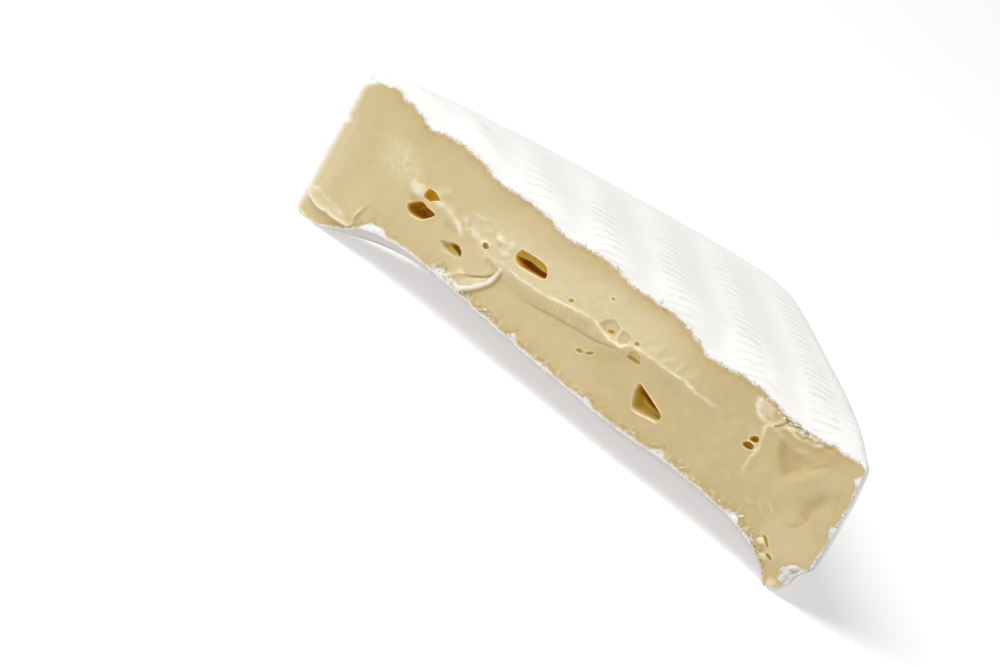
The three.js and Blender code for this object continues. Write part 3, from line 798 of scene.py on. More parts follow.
relief += SMEAR_RISE * smear_here * np.where(smear > 0, np.exp(-smear / SMEAR_SLOPE), smear_foot)
relief += SMEAR_CREST_RISE * broken * ridge(smear - SMEAR_CREST_AT, SMEAR_CREST_WIDTH) * smear_fade
pale += SMEAR_LINE_PALE * broken * ridge(smear - SMEAR_LINE_AT, SMEAR_LINE_WIDTH) * smear_fade
above_smear = smear_here * (smear > 0) * (1 - smoothstep(*SMEAR_PALE_END, smear_share))
below_smear = smear_here * (smear < 0) * smoothstep(*SMEAR_DARK_START, smear_share)
pale += SMEAR_PALE * above_smear * ridge(smear - SMEAR_PALE_AT, SMEAR_PALE_WIDTH)
dark += SMEAR_SHADE * below_smear * np.exp(np.minimum(smear, 0) / SMEAR_SINK_REACH)

# The dent at the right end: deepest along its left arm, and darkened with painted shade
DENT_LEFT_SLOPE = (-0.8, 1.3)
DENT_RIGHT_SLOPE = (-0.4, 1.6)
DENT_TOP = (22.0, 24.0)
DENT_SHADE = 0.55
left_arm = distance_from(smoothed(DENT_LEFT), cx, cz)[0] + wobble
right_arm = distance_from(smoothed(DENT_RIGHT), cx, cz)[0] + wobble
dent = smoothstep(*DENT_LEFT_SLOPE, left_arm) * np.exp(-np.maximum(left_arm, 0) / DENT_LENGTH)
dent *= smoothstep(*DENT_RIGHT_SLOPE, right_arm) * (1 - smoothstep(*DENT_TOP, cz))
relief -= DENT_DEPTH * dent
dark += DENT_SHADE * dent

FOLD_CREST_AT = 0.1
for fold in FOLDS:
    away, share = distance_from(smoothed(fold.line), cx, cz)
    away += wobble
    fade = between(share, fold.grown, fold.dying)
    relief += fold.rise * fade * slopes_from(away, fold.left, fold.right)
    # Painted highlight along each fold's crest
    pale += fold.pale * fade * broken * ridge(away - FOLD_CREST_AT, fold.crest)
for groove in GROOVES:
    away, share = distance_from(smoothed(groove.line), cx, cz)
    fade = between(share, groove.grown, groove.dying)
    furrow = fade * ridge(away + GROOVE_JITTER * jitter, groove.width)
    relief -= groove.depth * furrow
    # Painted shade along the bottom of each furrow
    dark += groove.dark * furrow
for line in KNIFE_LINES:
    away, share = distance_from(line, cx, cz)
    step = smoothstep(-KNIFE_EDGE, KNIFE_EDGE, away) * np.exp(-np.abs(away) / KNIFE_REACH)
    relief += KNIFE_STEP * step * np.sin(math.pi * share)
for lump in SWELLINGS:
    reach = oval_reach(lump.x, lump.z, lump.half_width, lump.half_height) + uneven
    swell = 1 - smoothstep(SOFT_MIDDLE, 1, reach)
    relief += lump.rise * swell
    # Paler in places as a painted highlight, and darker as painted shade
    pale += lump.pale * swell * (0.75 + 0.8 * uneven)
    dark += lump.dark * swell

# Chalky young paste round the ledge, between these x and these distances from the ledge
CORE_LEFT = (-60, -46)
CORE_RIGHT = (12, 30)
CORE_BELOW = (-1.5, 0.5)
CORE_ABOVE = (4.5, 9)
CORE_SAG = 2.5
CORE_SAG_FROM = (-20, -40)
core_base = ledge + CORE_SAG * smoothstep(*CORE_SAG_FROM, cx)
core = smoothstep(*CORE_LEFT, cx) * (1 - smoothstep(*CORE_RIGHT, cx))
core *= smoothstep(*CORE_BELOW, core_base) * (1 - smoothstep(*CORE_ABOVE, ledge))

# Wisps left of the twins
WISPS = (-50, 20.3, 7.5, 4.6, 0.4)
STRAND_SHARPNESS = 3.2
STRANDS = [(1.0, 2.6, 24)]
STRAND_FRAY = [(0.25, 0.9, 38)]
STRAND_GAPS = [(1.0, 3.0, 25)]
WISP_RISE = 0.06
WISP_PALE = 0.2
STRAND_PALE = 0.38
wisps = patch(*WISPS)
strand = layered(cx + 0.4 * cz, 1.4 * cz, STRANDS) + layered(cx, cz, STRAND_FRAY)
strand = np.clip(1 - np.abs(strand) * STRAND_SHARPNESS, 0, 1) ** 2
strand *= smoothstep(-0.35, 0.2, layered(cx, cz, STRAND_GAPS))
relief += WISP_RISE * wisps * strand
pale += wisps * (WISP_PALE + STRAND_PALE * strand)

# Crumpled flakes beside the slot, their raised parts painted pale as highlights
FLAKES = (-26, 19.0, 10, 3.0, 0.4)
FEWER_FLAKES = (-37, 20.0, 6, 2.5)
FLAKE_LUMPS = [(1.0, 2.8, 26)]
FLAKE_GRAIN = [(0.35, 1.1, 27)]
FLAKE_RISE = 0.22
FLAKE_PALE = 0.6
crumple = np.clip(patch(*FLAKES) + 0.5 * patch(*FEWER_FLAKES), 0, 1)
flakes = layered(cx - 0.5 * cz, 1.5 * cz, FLAKE_LUMPS) + layered(cx, cz, FLAKE_GRAIN)
relief += FLAKE_RISE * crumple * flakes
pale += FLAKE_PALE * crumple * smoothstep(0.05, 0.5, flakes)

# Ripples above the ledge
RIPPLES = (21, 21.8, 8.5, 2.6, 0.3)
RIPPLE_PITCH = 2.5
RIPPLE_WANDER = [(0.8, 3, 28)]
RIPPLE_RISE = 0.08
RIPPLE_PALE = 0.25
rippled = patch(*RIPPLES) * smoothstep(0, 0.8, ledge)
ripple_way = 0.8 * cx - 0.5 * cz + layered(cx, cz, RIPPLE_WANDER)
ripple = np.sin(2 * math.pi * ripple_way / RIPPLE_PITCH)
relief += RIPPLE_RISE * rippled * ripple
pale += RIPPLE_PALE * rippled * smoothstep(0.3, 1, ripple)

# The torn rind along the cut
# The knife dragged the dry rind over the paste, so its edge is ragged, granular and uneven in width.
# At the bottom it lifted and crumbled, and a piece tore away at the right end's lower corner.

# Tears along the bottom, as x, rise and width, and up the ends, as z, reach and height
RIND_TEARS = [
    (-49, 1.5, 1.6), (-46.5, 0.9, 1.2), (-30.6, 1.5, 1.6), (-10, 1.0, 0.9), (10, 1.0, 0.9), (29, 1.0, 1.6),
    (48, 1.2, 1.3), (52, 0.5, 1.2), (60.8, -0.8, 2.4),
]
RIGHT_TEARS = [(25.2, 1.1, 0.8), (15.5, 1.0, 0.9)]
LEFT_TEAR = (20.3, 0.7, 0.7)
TORN_CORNER = (66.0, 4.6, 2.5, 2.1)
TORN_CORNER_SLOPE = 2.2
TORN_CORNER_RAGGED = [(0.6, 1.1, 22)]
LEFT_SOFTNESS = 0.35
LEFT_WRAP = (-66, 31.5, 8, 4.5)
LEFT_WRAP_WIDTH = 1.5
# How far the rind reaches in from each side, its waves along that side and its grain
TOP_RIND = 0.45
TOP_WAVES = [(0.4, 2.4, 5)]
TOP_GRAIN = [(0.22, 1.0, 6)]
BOTTOM_RIND = 0.1
BOTTOM_WAVES = [(0.4, 2.6, 7)]
BOTTOM_GRAIN = [(0.25, 1.0, 8)]
LEFT_RIND = 1.2
LEFT_WAVES = [(0.25, 3.0, 9)]
RIGHT_RIND = 0.35
RIGHT_WAVES = [(0.3, 2.2, 11)]
RIGHT_GRAIN = [(0.35, 0.8, 12)]
rind_top = TOP_RIND + layered(cx, 0, TOP_WAVES) + layered(cx, cz, TOP_GRAIN)
rind_bottom = BOTTOM_RIND + layered(cx, 0, BOTTOM_WAVES) + layered(cx, cz, BOTTOM_GRAIN)
for x, rise, width in RIND_TEARS:
    rind_bottom += rise * ridge(cx - x, width)
left_z, left_reach, left_height = LEFT_TEAR
rind_left = LEFT_RIND + layered(0, cz, LEFT_WAVES) + left_reach * ridge(cz - left_z, left_height)
rind_right = RIGHT_RIND + layered(0, cz, RIGHT_WAVES) + layered(cx, cz, RIGHT_GRAIN)
for z, reach, height in RIGHT_TEARS:
    rind_right += reach * ridge(cz - z, height)
torn_reach = oval_reach(*TORN_CORNER)
rind_gap = np.minimum.reduce([
    to_top - rind_top,
    to_bottom - rind_bottom,
    LEFT_SOFTNESS * (to_left - rind_left),
    to_right - rind_right,
    TORN_CORNER_SLOPE * (torn_reach - 1) + layered(cx, cz, TORN_CORNER_RAGGED),
])
rind_gap -= LEFT_WRAP_WIDTH * patch(*LEFT_WRAP)

# Crumbling along the bottom and under the torn top edge, and nearly smooth paste elsewhere
SOFT_BOTTOM = (-42, 6.0, 13, 5.0, 0.5)
SOFT_BOTTOM_BEADS = 0.8
SOFT_BOTTOM_GRIT = 0.75
TORN_EDGE = (51, 27.0, 7.5, 2.4, 0.4)
BEADS_FROM = (-58, -50)
BEADS_REACH = (0.3, 2.4)
TOP_CRUMBLE_REACH = (0.2, 1.4)
TORN_CRUMBLE = 0.45
TOP_CRUMBLE = 0.35
CRUMBLE_GRAIN = [(1.0, 0.8, 13), (0.7, 1.6, 14)]
CRUMBLE_RISE = 0.3
CRUMBLE_HIGHLIGHT = 0.4
CRUMBLE_SHADE = 0.3
EDGE_SHADE = [(0.22, 2.4, 41)]
EDGE_SHADE_MEAN = 0.28
EDGE_SHADE_AT = 0.45
EDGE_SHADE_WIDTH = 0.55
CORE_LUMPS = [(0.12, 2.2, 15), (0.04, 0.8, 16)]
CUT_WAVES = [(0.22, 9.0, 17), (0.04, 2.5, 18)]
TIP_FADE = 3
LEFT_TIP_CLEAN = (4, 10)
soft_bottom = patch(*SOFT_BOTTOM)
firm = 1 - SOFT_BOTTOM_BEADS * soft_bottom
torn = patch(*TORN_EDGE)
beads = (1 - smoothstep(*BEADS_REACH, to_bottom - rind_bottom)) * smoothstep(*BEADS_FROM, cx)
beads *= firm
top_crumble = TOP_CRUMBLE * (1 - smoothstep(*TOP_CRUMBLE_REACH, to_top - rind_top))
crumble = np.clip(beads + TORN_CRUMBLE * torn + top_crumble, 0, 1)
grain = layered(cx, cz, CRUMBLE_GRAIN)
relief += CRUMBLE_RISE * crumble * grain
# Painted highlights on the raised grains and painted shade between them
pale += CRUMBLE_HIGHLIGHT * crumble * smoothstep(0.1, 0.7, grain)
dark += CRUMBLE_SHADE * crumble * smoothstep(0.1, 0.6, -grain)
past_left_tip = smoothstep(*LEFT_TIP_CLEAN, to_left)
# Painted shade in a band of paste just under the rind's edge
under_edge = ridge(rind_gap - EDGE_SHADE_AT, EDGE_SHADE_WIDTH) * past_left_tip
dark += under_edge * (EDGE_SHADE_MEAN + layered(cx, cz, EDGE_SHADE))
relief += core * layered(cx, cz, CORE_LUMPS)
relief += layered(cx, cz, CUT_WAVES)
relief *= smoothstep(0, 1.0, to_edge) * smoothstep(0, TIP_FADE, np.minimum(to_left, to_right))

# The torn rind stands a little proud of the paste and is full of small grains
RIND_STEP = (-0.15, 0.2)
RIND_PROUD = 0.15
RIND_GRAINS = [(0.35, 0.7, 19), (0.3, 1.5, 29)]
CORNER_LUMPS = [(0.7, 1.6, 31)]
CORNER_CREASE = 0.3
CORNER_CREASES = [(1.0, 2.2, 39)]
CORNER_CREASE_WIDTH = 0.15
rind_here = 1 - smoothstep(*RIND_STEP, rind_gap)
grains = RIND_PROUD + layered(cx, cz, RIND_GRAINS)
relief += rind_here * smoothstep(0, 0.3, to_edge) * smoothstep(0, 2, to_left) * grains
in_corner = (1 - smoothstep(0.5, 1.1, torn_reach)) * smoothstep(0, 1.0, to_edge)
creased = CORNER_CREASE * ridge(layered(cx, cz, CORNER_CREASES), CORNER_CREASE_WIDTH)
relief += in_corner * (layered(cx, cz, CORNER_LUMPS) - creased)

# The walls of the openings: steep where the floor lies near the rim, sloping where it lies far from it
WALL_STEEPNESS = 1.9
DEEP_SHADE_REACH = 0.18
RIM_AT = 0.1
RIM_WIDTH = 0.22
RIM_RISE = 0.5
sunk = np.zeros(len(cx))
hole_glow = np.zeros(len(cx))
deep_shade = np.zeros(len(cx))
for opening, curve in zip(OPENINGS, curves):
    middle = curve.mean(axis=0)
    span = np.ptp(curve, axis=0).max()
    near = np.hypot(cx - middle[0], cz - middle[1]) < span + 1
    wall = inside_depth(curve, cx[near], cz[near])
    hole_floor = middle + (curve - middle) * FLOOR_SIZE + np.array(opening.lean)
    to_floor = np.maximum(0, -inside_depth(hole_floor, cx[near], cz[near]))
    share = np.where(wall > 0, wall / np.maximum(wall + to_floor, 1e-6), 0)
    share = np.minimum(1, WALL_STEEPNESS * share)
    sunk[near] = np.maximum(sunk[near], opening.depth * np.sin(share * math.pi / 2))
    # Painted glow: golden to ochre walls; painted shade: browner deep pits
    hole_glow[near] = np.maximum(hole_glow[near], opening.hole_glow * smoothstep(0, opening.soft, wall))
    deep_shade[near] = np.maximum(deep_shade[near], opening.deep_shade * smoothstep(0, DEEP_SHADE_REACH, wall))
    # A pale rim round each opening, painted as a highlight
    rim = ridge(np.minimum(wall, 0) + RIM_AT, RIM_WIDTH) * (wall <= 0)
    relief[near] += RIM_RISE * opening.rim * rim
    pale[near] += opening.rim * rim * broken[near]
# The pale mask holds painted highlights and paler paste, and the dark mask holds painted shade
pale = np.clip(pale, 0, 1) * (1 - smoothstep(0.1, 0.6, sunk))
dark = np.clip(dark, 0, 1)
place[is_cut, 1] -= relief - sunk

# The end of the right tip bows in towards its top and bottom, and its lower corner is torn away
END_BOW = 1.4
END_BOW_LENGTH = 15.0
CORNER_LOSS = 2.0
CORNER_LOSS_X = (58, 67)
CORNER_LOSS_Z = (4.2, 8.0)
bow = END_BOW * smoothstep(HALF_CUT - END_BOW_LENGTH, HALF_CUT, place[:, 0])
lost = CORNER_LOSS * smoothstep(*CORNER_LOSS_X, place[:, 0]) * (1 - smoothstep(*CORNER_LOSS_Z, place[:, 2]))
place[:, 0] -= bow * ((place[:, 2] - HEIGHT / 2) / (HEIGHT / 2)) ** 2 + lost

# The top and the outer sides
# Rind all over: the draining mat left ribs on the crests of the top's bands and along its right edge.
# The outer sides shrank a little as they dried, so they are wrinkled, and their shoulders are rubbed.
WRINKLE_FOOT = (3, 7)
WRINKLE_HEAD = (22, 26)
WRINKLE_FROM_CUT = 4
WRINKLES = [(0.32, 8, 43)]
FINE_WRINKLES = [(0.2, 3.4, 44)]
CREASES = [(1.0, 11, 46)]
CREASE_BREAKS = [(1.0, 14, 47)]
CREASE_DEPTH = 0.25
CREASE_WIDTH = 0.12
tx, ty, tz = place.T
along_rim = 1.4 * tx + 0.5 * tz
wrinkle = layered(along_rim, 0.6 * tz, WRINKLES) + layered(along_rim, 0.7 * tz, FINE_WRINKLES)
crease = ridge(layered(along_rim, 0.5 * tz, CREASES), CREASE_WIDTH)
wrinkle -= CREASE_DEPTH * crease * smoothstep(-0.1, 0.4, layered(along_rim, tz, CREASE_BREAKS))
wrinkle *= smoothstep(*WRINKLE_FOOT, tz) * (1 - smoothstep(*WRINKLE_HEAD, tz))
wrinkle *= is_outside * smoothstep(0, WRINKLE_FROM_CUT, ty)
outward = np.stack([np.sign(tx) * CORNER_DEPTH, np.full(count, HALF_CUT)], axis=1)
place[:, :2] += wrinkle[:, None] * outward / math.hypot(CORNER_DEPTH, HALF_CUT)

# The ribs: their pitch and direction, where they show, and how they are worn away
RIB_PITCH = 3.2
RIB_ANGLE = math.radians(38)
RIB_BEND = 0.02
RIB_WANDER = [(0.5, 7, 32)]
RIB_DEPTH = 0.07
RIB_CREST = (0.0, 0.7)
RIB_REACH = 24
RIB_REACH_FADE = 6
RIB_LEFT = (-48, -20)
RIB_INSET = (1.5, 4)
EDGE_RIBS = 0.8
EDGE_RIBS_AT = 2.2
EDGE_RIBS_WIDTH = 1.8
EDGE_RIBS_LEFT = (8, 20)
EDGE_RIBS_RIGHT = (61, 66)
RIB_WEAR = [(0.7, 5, 33)]
RIB_WEAR_MEAN = 0.75
RIB_WEAR_LEAST = 0.15
strip = tx + ty
crest = np.cos(2 * math.pi * strip / BAND_PITCH)
off_crest = BAND_PITCH * (strip / BAND_PITCH - np.round(strip / BAND_PITCH))
rib_way = ty * math.cos(RIB_ANGLE) - tx * math.sin(RIB_ANGLE)
rib_way += RIB_BEND * off_crest**2 + layered(tx, ty, RIB_WANDER)
rib_phase = 2 * math.pi * rib_way / RIB_PITCH
rib_reach = RIB_REACH + 0.5 * strip
from_rim = (rim_depth(tx) - ty) * RIM_COSINE
ribs = smoothstep(*RIB_CREST, crest) * smoothstep(*RIB_LEFT, tx) * smoothstep(*RIB_INSET, from_rim)
ribs *= 1 - smoothstep(rib_reach - RIB_REACH_FADE, rib_reach + RIB_REACH_FADE, ty)
edge_ribs = EDGE_RIBS * ridge(from_rim - EDGE_RIBS_AT, EDGE_RIBS_WIDTH)
edge_ribs *= smoothstep(*EDGE_RIBS_LEFT, tx) * (1 - smoothstep(*EDGE_RIBS_RIGHT, tx))
ribs = np.maximum(ribs, edge_ribs) * is_top
ribs *= np.clip(RIB_WEAR_MEAN + layered(tx, ty, RIB_WEAR), RIB_WEAR_LEAST, 1)
groove_line = (0.5 + 0.5 * np.sin(rib_phase)) ** 2
place[:, 2] -= RIB_DEPTH * ribs * groove_line

# Stains in the top's bloom: x and y behind the cut, half length, half width, angle and strength
STAINS = [
    (-44.3, 10.9, 4.6, 1.0, -16, 0.8), (-36, 11, 5, 0.8, 20, 0.25), (40, 2.6, 4.2, 0.4, -12, 0.9),
    (24, 13.6, 3.5, 0.5, -12, 0.7), (33, 5.0, 4, 0.5, -12, 0.6), (52.5, 1.0, 3.0, 0.8, -25, 0.6),
]
stain = np.zeros(count)
for x, y, half_length, half_width, angle, strength in STAINS:
    cos, sin = math.cos(math.radians(angle)), math.sin(math.radians(angle))
    a = ((tx - x) * cos + (ty - y) * sin) / half_length
    b = ((ty - y) * cos - (tx - x) * sin) / half_width
    stain = np.maximum(stain, strength * (1 - smoothstep(SOFT_MIDDLE, 1, np.hypot(a, b))))
stain *= is_top

# Wear along the rims' upper edges, where the bloom is rubbed to cream
SHOULDER_HEIGHT = 22
WEAR_AT = 1.2
WEAR_WIDTH = 1.6
WEAR_FROM_CUT = (3, 8)
WEAR_BREAKS = [(1.0, 5, 45)]
WEAR_STRENGTH = 0.45
worn = ridge(from_rim - WEAR_AT, WEAR_WIDTH) * smoothstep(*WEAR_FROM_CUT, ty)
worn *= smoothstep(0.05, 0.6, layered(along_rim, 2 * from_rim, WEAR_BREAKS))
on_shoulder = ~is_cut & (tz > SHOULDER_HEIGHT)
stain = np.maximum(stain, WEAR_STRENGTH * worn * on_shoulder)

# Painted shade: greyer bloom on the underside and low on the rims, darker towards the bottom, and shade in
# the troughs of the top
LOW_SHADE_INSET = 3
LOW_SHADE_HEIGHT = (3, 20)
LOW_SHADE_RIM = 0.6
TROUGH_CREST = (0.1, 1)
TROUGH_INSET = (2, 10)
TROUGH_LEFT = (-50, -15)
aged = LOW_SHADE_RIM * (1 - smoothstep(*LOW_SHADE_HEIGHT, tz)) * ~is_cut
aged = np.where(is_outside & (from_rim > LOW_SHADE_INSET), 1.0, aged)
trough = smoothstep(*TROUGH_CREST, -crest) * smoothstep(*TROUGH_INSET, from_rim)
trough *= is_top * smoothstep(*TROUGH_LEFT, tx)

# Everything that the materials read, kept on the points of the mesh
RIND_ALONE = -1.0
SOLID_TIP = (0.5, 7)
SHRED_REACH = (0.6, 1.3)
solid = (1 - white_lip) * smoothstep(*SOLID_TIP, to_right)
shred = 1 - smoothstep(*SHRED_REACH, torn_reach)
grit = past_left_tip * (1 - SOFT_BOTTOM_GRIT * soft_bottom)


def store(name, values):
    layer = skin.attributes.new(name, "FLOAT", "POINT")
    layer.data.foreach_set("value", np.asarray(values, np.float32))


def store_cut(name, values, elsewhere=0.0):
    everywhere = np.full(count, elsewhere)
    everywhere[is_cut] = values
    store(name, everywhere)


store_cut("rind_gap", rind_gap, RIND_ALONE)
store_cut("grit", grit, 1.0)
cut_masks = {"core": core, "pale": pale, "dark": dark, "white_lip": white_lip, "hole_glow": hole_glow}
cut_masks |= {"deep_shade": deep_shade, "solid": solid, "shred": shred}
for name, values in cut_masks.items():
    store_cut(name, values)
rind_masks = {"ribs": ribs, "rib_phase": rib_phase, "trough": trough, "stain": stain, "aged": aged}
for name, values in rind_masks.items():
    store(name, values)

place[:, 1] += CUT_PLANE
skin.vertices.foreach_set("co", (place * MM).ravel())
skin.update()
skin.shade_smooth()
body = bpy.data.objects.new("brie_body", skin)
bpy.context.collection.objects.link(body)

# The rind
# A dry bloom of white mould over the whole outside, velvety and slightly mottled.
# The draining mat pressed fine ribs into the top, which show cream where the bloom is thin.
RIND_WHITE = (0.945, 0.937, 0.915, 1)
RIND_CREAM = (0.62, 0.555, 0.46, 1)
RIND_WARM = (0.85, 0.83, 0.80, 1)
RIND_PIT_SHADE = (0.52, 0.49, 0.45, 1)
RIND_DRAGGED = (0.74, 0.71, 0.66, 1)
# Greyer bloom: painted shade low on the rims and on the underside, and plain greyer rind at the torn corner
# and on the crumbs
RIND_SHADE_GREY = (0.57, 0.535, 0.515, 1)


def new_node(tree, kind, label, **values):
    node = tree.nodes.new(kind)
    node.label = label
    for key, value in values.items():
        setattr(node, key, value)
    return node


def set_inputs(node, **values):
    for key, value in values.items():
        node.inputs[key.replace("_", " ")].default_value = value


def link(tree, source, target):
    tree.links.new(source, target)


def maths(tree, operation, first, second, label, third=None, clamp=False):
    """A Math node on sockets or numbers."""
    node = new_node(tree, "ShaderNodeMath", label, operation=operation, use_clamp=clamp)
    for index, value in enumerate((first, second, third)):
        if isinstance(value, (int, float)):
            node.inputs[index].default_value = value
        elif value is not None:
            link(tree, value, node.inputs[index])
    return node.outputs["Value"]


def times(tree, first, second, label):
    return maths(tree, "MULTIPLY", first, second, label)


def inverse(tree, value, label):
    """0 where the value is 1, and 1 where it is 0."""
    return maths(tree, "SUBTRACT", 1.0, value, label)


def blended(tree, factor, first, second, label):
    """Colour first where the factor is 0 and second where it is 1."""
    node = new_node(tree, "ShaderNodeMix", label, data_type="RGBA")
    for socket, value in (("Factor_Float", factor), ("A_Color", first), ("B_Color", second)):
        target = next(s for s in node.inputs if s.identifier == socket)
        if isinstance(value, (int, float, tuple)):
            target.default_value = value
        else:
            link(tree, value, target)
    return next(s for s in node.outputs if s.identifier == "Result_Color")


def ramped(tree, value, low, high, label):
    """The value as 0 at low and 1 at high, with a smooth step between."""
    node = new_node(tree, "ShaderNodeMapRange", label, interpolation_type="SMOOTHSTEP")
    set_inputs(node, From_Min=low, From_Max=high)
    link(tree, value, node.inputs["Value"])
    return node.outputs["Result"]


def speckle(tree, coordinates, lumps_per_mm, label, detail=2.0, distortion=0.0):
    node = new_node(tree, "ShaderNodeTexNoise", label)
    set_inputs(node, Scale=lumps_per_mm, Detail=detail, Distortion=distortion)
    link(tree, coordinates, node.inputs["Vector"])
    return node.outputs["Fac"]


def millimetres(tree):
    """The object's own coordinates in millimetres."""
    source = new_node(tree, "ShaderNodeTexCoord", "where")
    scaled = new_node(tree, "ShaderNodeVectorMath", "in millimetres", operation="SCALE")
    scaled.inputs["Scale"].default_value = 1 / MM
    link(tree, source.outputs["Object"], scaled.inputs[0])
    return scaled.outputs["Vector"]


def attribute(tree, name):
    return new_node(tree, "ShaderNodeAttribute", name, attribute_name=name).outputs["Fac"]


def new_material(name):
    """A material with its node tree and its shader."""
    material = bpy.data.materials.new(name)
    material.use_nodes = True
    return material, material.node_tree, material.node_tree.nodes["Principled BSDF"]


# The bloom is shared by the rind, its torn edge on the cut and its crumbs; lumps are per millimetre
STROKE_LUMPS = 0.55
BLOOM_LUMPS = 0.11
NAP_LUMPS = 2.6
THIN_BLOOM = 0.3
TROUGH_SHADE = 0.35
RIB_CREAM = 0.42
STAIN_CREAM = 0.5
NAP_HEIGHT = 0.35
RIB_GROOVE = 0.35
rind_bloom = bpy.data.node_groups.new("Rind bloom", "ShaderNodeTree")
for name in ("Ribs", "Rib Phase", "Trough", "Stain", "Torn", "Aged"):
    rind_bloom.interface.new_socket(name, in_out="INPUT", socket_type="NodeSocketFloat")
rind_bloom.interface.new_socket("Colour", in_out="OUTPUT", socket_type="NodeSocketColor")
rind_bloom.interface.new_socket("Height", in_out="OUTPUT", socket_type="NodeSocketFloat")
tree = rind_bloom
bloom_in = tree.nodes.new("NodeGroupInput")
bloom_out = tree.nodes.new("NodeGroupOutput")
where = millimetres(tree)
wave = maths(tree, "SINE", bloom_in.outputs["Rib Phase"], None, "rib wave")
blotches = speckle(tree, where, STROKE_LUMPS, "broken strokes", detail=3.0)
strokes = ramped(tree, blotches, 0.28, 0.5, "strokes")
rib_show = times(tree, ramped(tree, wave, 0.35, 0.95, "rib line"), strokes, "ribs seen")
rib_show = times(tree, rib_show, bloom_in.outputs["Ribs"], "ribs on top")
patchy = speckle(tree, where, BLOOM_LUMPS, "patchy bloom", detail=4.0)
thin = times(tree, ramped(tree, patchy, 0.45, 0.75, "thin bloom"), THIN_BLOOM, "thin patches")
colour = blended(tree, thin, RIND_WHITE, RIND_WARM, "white to warm")
shaded = times(tree, bloom_in.outputs["Trough"], TROUGH_SHADE, "shaded troughs")
colour = blended(tree, shaded, colour, RIND_WARM, "troughs")
# Greyer where asked: painted shade low on the rims and underside, plain grey on the torn corner and the
# crumbs
colour = blended(tree, bloom_in.outputs["Aged"], colour, RIND_SHADE_GREY, "shadier bloom")
rib_cream = times(tree, rib_show, RIB_CREAM, "cream in the ribs")
blotchy = ramped(tree, blotches, 0.3, 0.6, "blotchy")
stained = times(tree, bloom_in.outputs["Stain"], blotchy, "stains")
stain_cream = times(tree, stained, STAIN_CREAM, "cream in the stains")
cream = maths(tree, "ADD", rib_cream, stain_cream, "all cream", clamp=True)
colour = blended(tree, cream, colour, RIND_CREAM, "cream")
nap = speckle(tree, where, NAP_LUMPS, "nap", detail=3.0)
# Painted shade: grey in the pits between the raised grains of the nap
pits = inverse(tree, ramped(tree, nap, 0.32, 0.56, "raised grains"), "pits")
shaded_pits = times(tree, bloom_in.outputs["Torn"], pits, "torn pits")
colour = blended(tree, shaded_pits, colour, RIND_PIT_SHADE, "grey pits")
link(tree, colour, bloom_out.inputs["Colour"])
nap_height = times(tree, nap, NAP_HEIGHT, "nap height")
rib_groove = times(tree, rib_show, RIB_GROOVE, "rib groove")
bloom_height = maths(tree, "SUBTRACT", nap_height, rib_groove, "height")
link(tree, bloom_height, bloom_out.inputs["Height"])

RIND_ROUGHNESS = 0.9
VELVET_STRENGTH = 0.5
VELVET_DEPTH = 0.3
# Painted shade in the rind's pits, everywhere and more where it is painted darker low down
EVEN_PITS = 0.12
LOW_SHADE_PITS = 0.4
white_rind, tree, shader = new_material("white rind")
bloom = new_node(tree, "ShaderNodeGroup", "bloom", node_tree=rind_bloom)
for socket in ("Ribs", "Rib Phase", "Trough", "Stain", "Aged"):
    link(tree, attribute(tree, socket.lower().replace(" ", "_")), bloom.inputs[socket])
# More grey pits where the rind is painted darker low down, as painted shade
pitted = maths(tree, "MULTIPLY_ADD", attribute(tree, "aged"), LOW_SHADE_PITS, "pitted", third=EVEN_PITS)
link(tree, pitted, bloom.inputs["Torn"])
link(tree, bloom.outputs["Colour"], shader.inputs["Base Color"])
bump = new_node(tree, "ShaderNodeBump", "velvet")
set_inputs(bump, Strength=VELVET_STRENGTH, Distance=VELVET_DEPTH * MM)
link(tree, bloom.outputs["Height"], bump.inputs["Height"])
link(tree, bump.outputs["Normal"], shader.inputs["Normal"])
set_inputs(shader, Roughness=RIND_ROUGHNESS, Sheen_Weight=0.2, Sheen_Roughness=0.6)
set_inputs(shader, Specular_IOR_Level=0.25, Subsurface_Weight=0.08, Subsurface_Scale=2 * MM)

# The paste
# Soft cream-coloured cheese, faintly translucent, with a moist sheen where it is ripe.
# The young core is paler and drier, and the walls of the holes are painted deep ochre as a glow of light
# through the paste, with painted shade in their deep pits.
PASTE_LEFT = (0.615, 0.503, 0.272, 1)
PASTE_RIGHT = (0.565, 0.455, 0.228, 1)
PASTE_CORE = (0.705, 0.605, 0.40, 1)
PASTE_RIPE = (0.52, 0.37, 0.14, 1)
# The paler paste, also used for the painted highlights on crests and rims
PASTE_PALE = (0.85, 0.785, 0.60, 1)
LIP_WHITE = (0.82, 0.775, 0.71, 1)
# The colour of painted shade in crevices, hollows and under folds
SHADE_OCHRE = (0.45, 0.27, 0.05, 1)
FRINGE_DARK = (0.42, 0.37, 0.29, 1)
FRINGE_LIGHT = (0.80, 0.76, 0.66, 1)
# The holes' colours: gold and ochre are a painted glow of light through the paste, and brown is painted
# shade in the deep pits
HOLE_GLOW_GOLD = (0.60, 0.41, 0.07, 1)
HOLE_GLOW_OCHRE = (0.72, 0.42, 0.006, 1)
HOLE_SHADE_BROWN = (0.56, 0.24, 0.002, 1)
# How much of each colour shows where it is strongest
CLOUD_SHARE = 0.3
MOTTLE_SHARE = 0.2
RIPE_SHARE = 0.3
CORE_SHARE = 0.75
CREVICE_SHARE = 0.6
DRAGGED_SHARE = 0.55
DARK_GRAIN_SHARE = 0.7
LIGHT_GRAIN_SHARE = 0.45
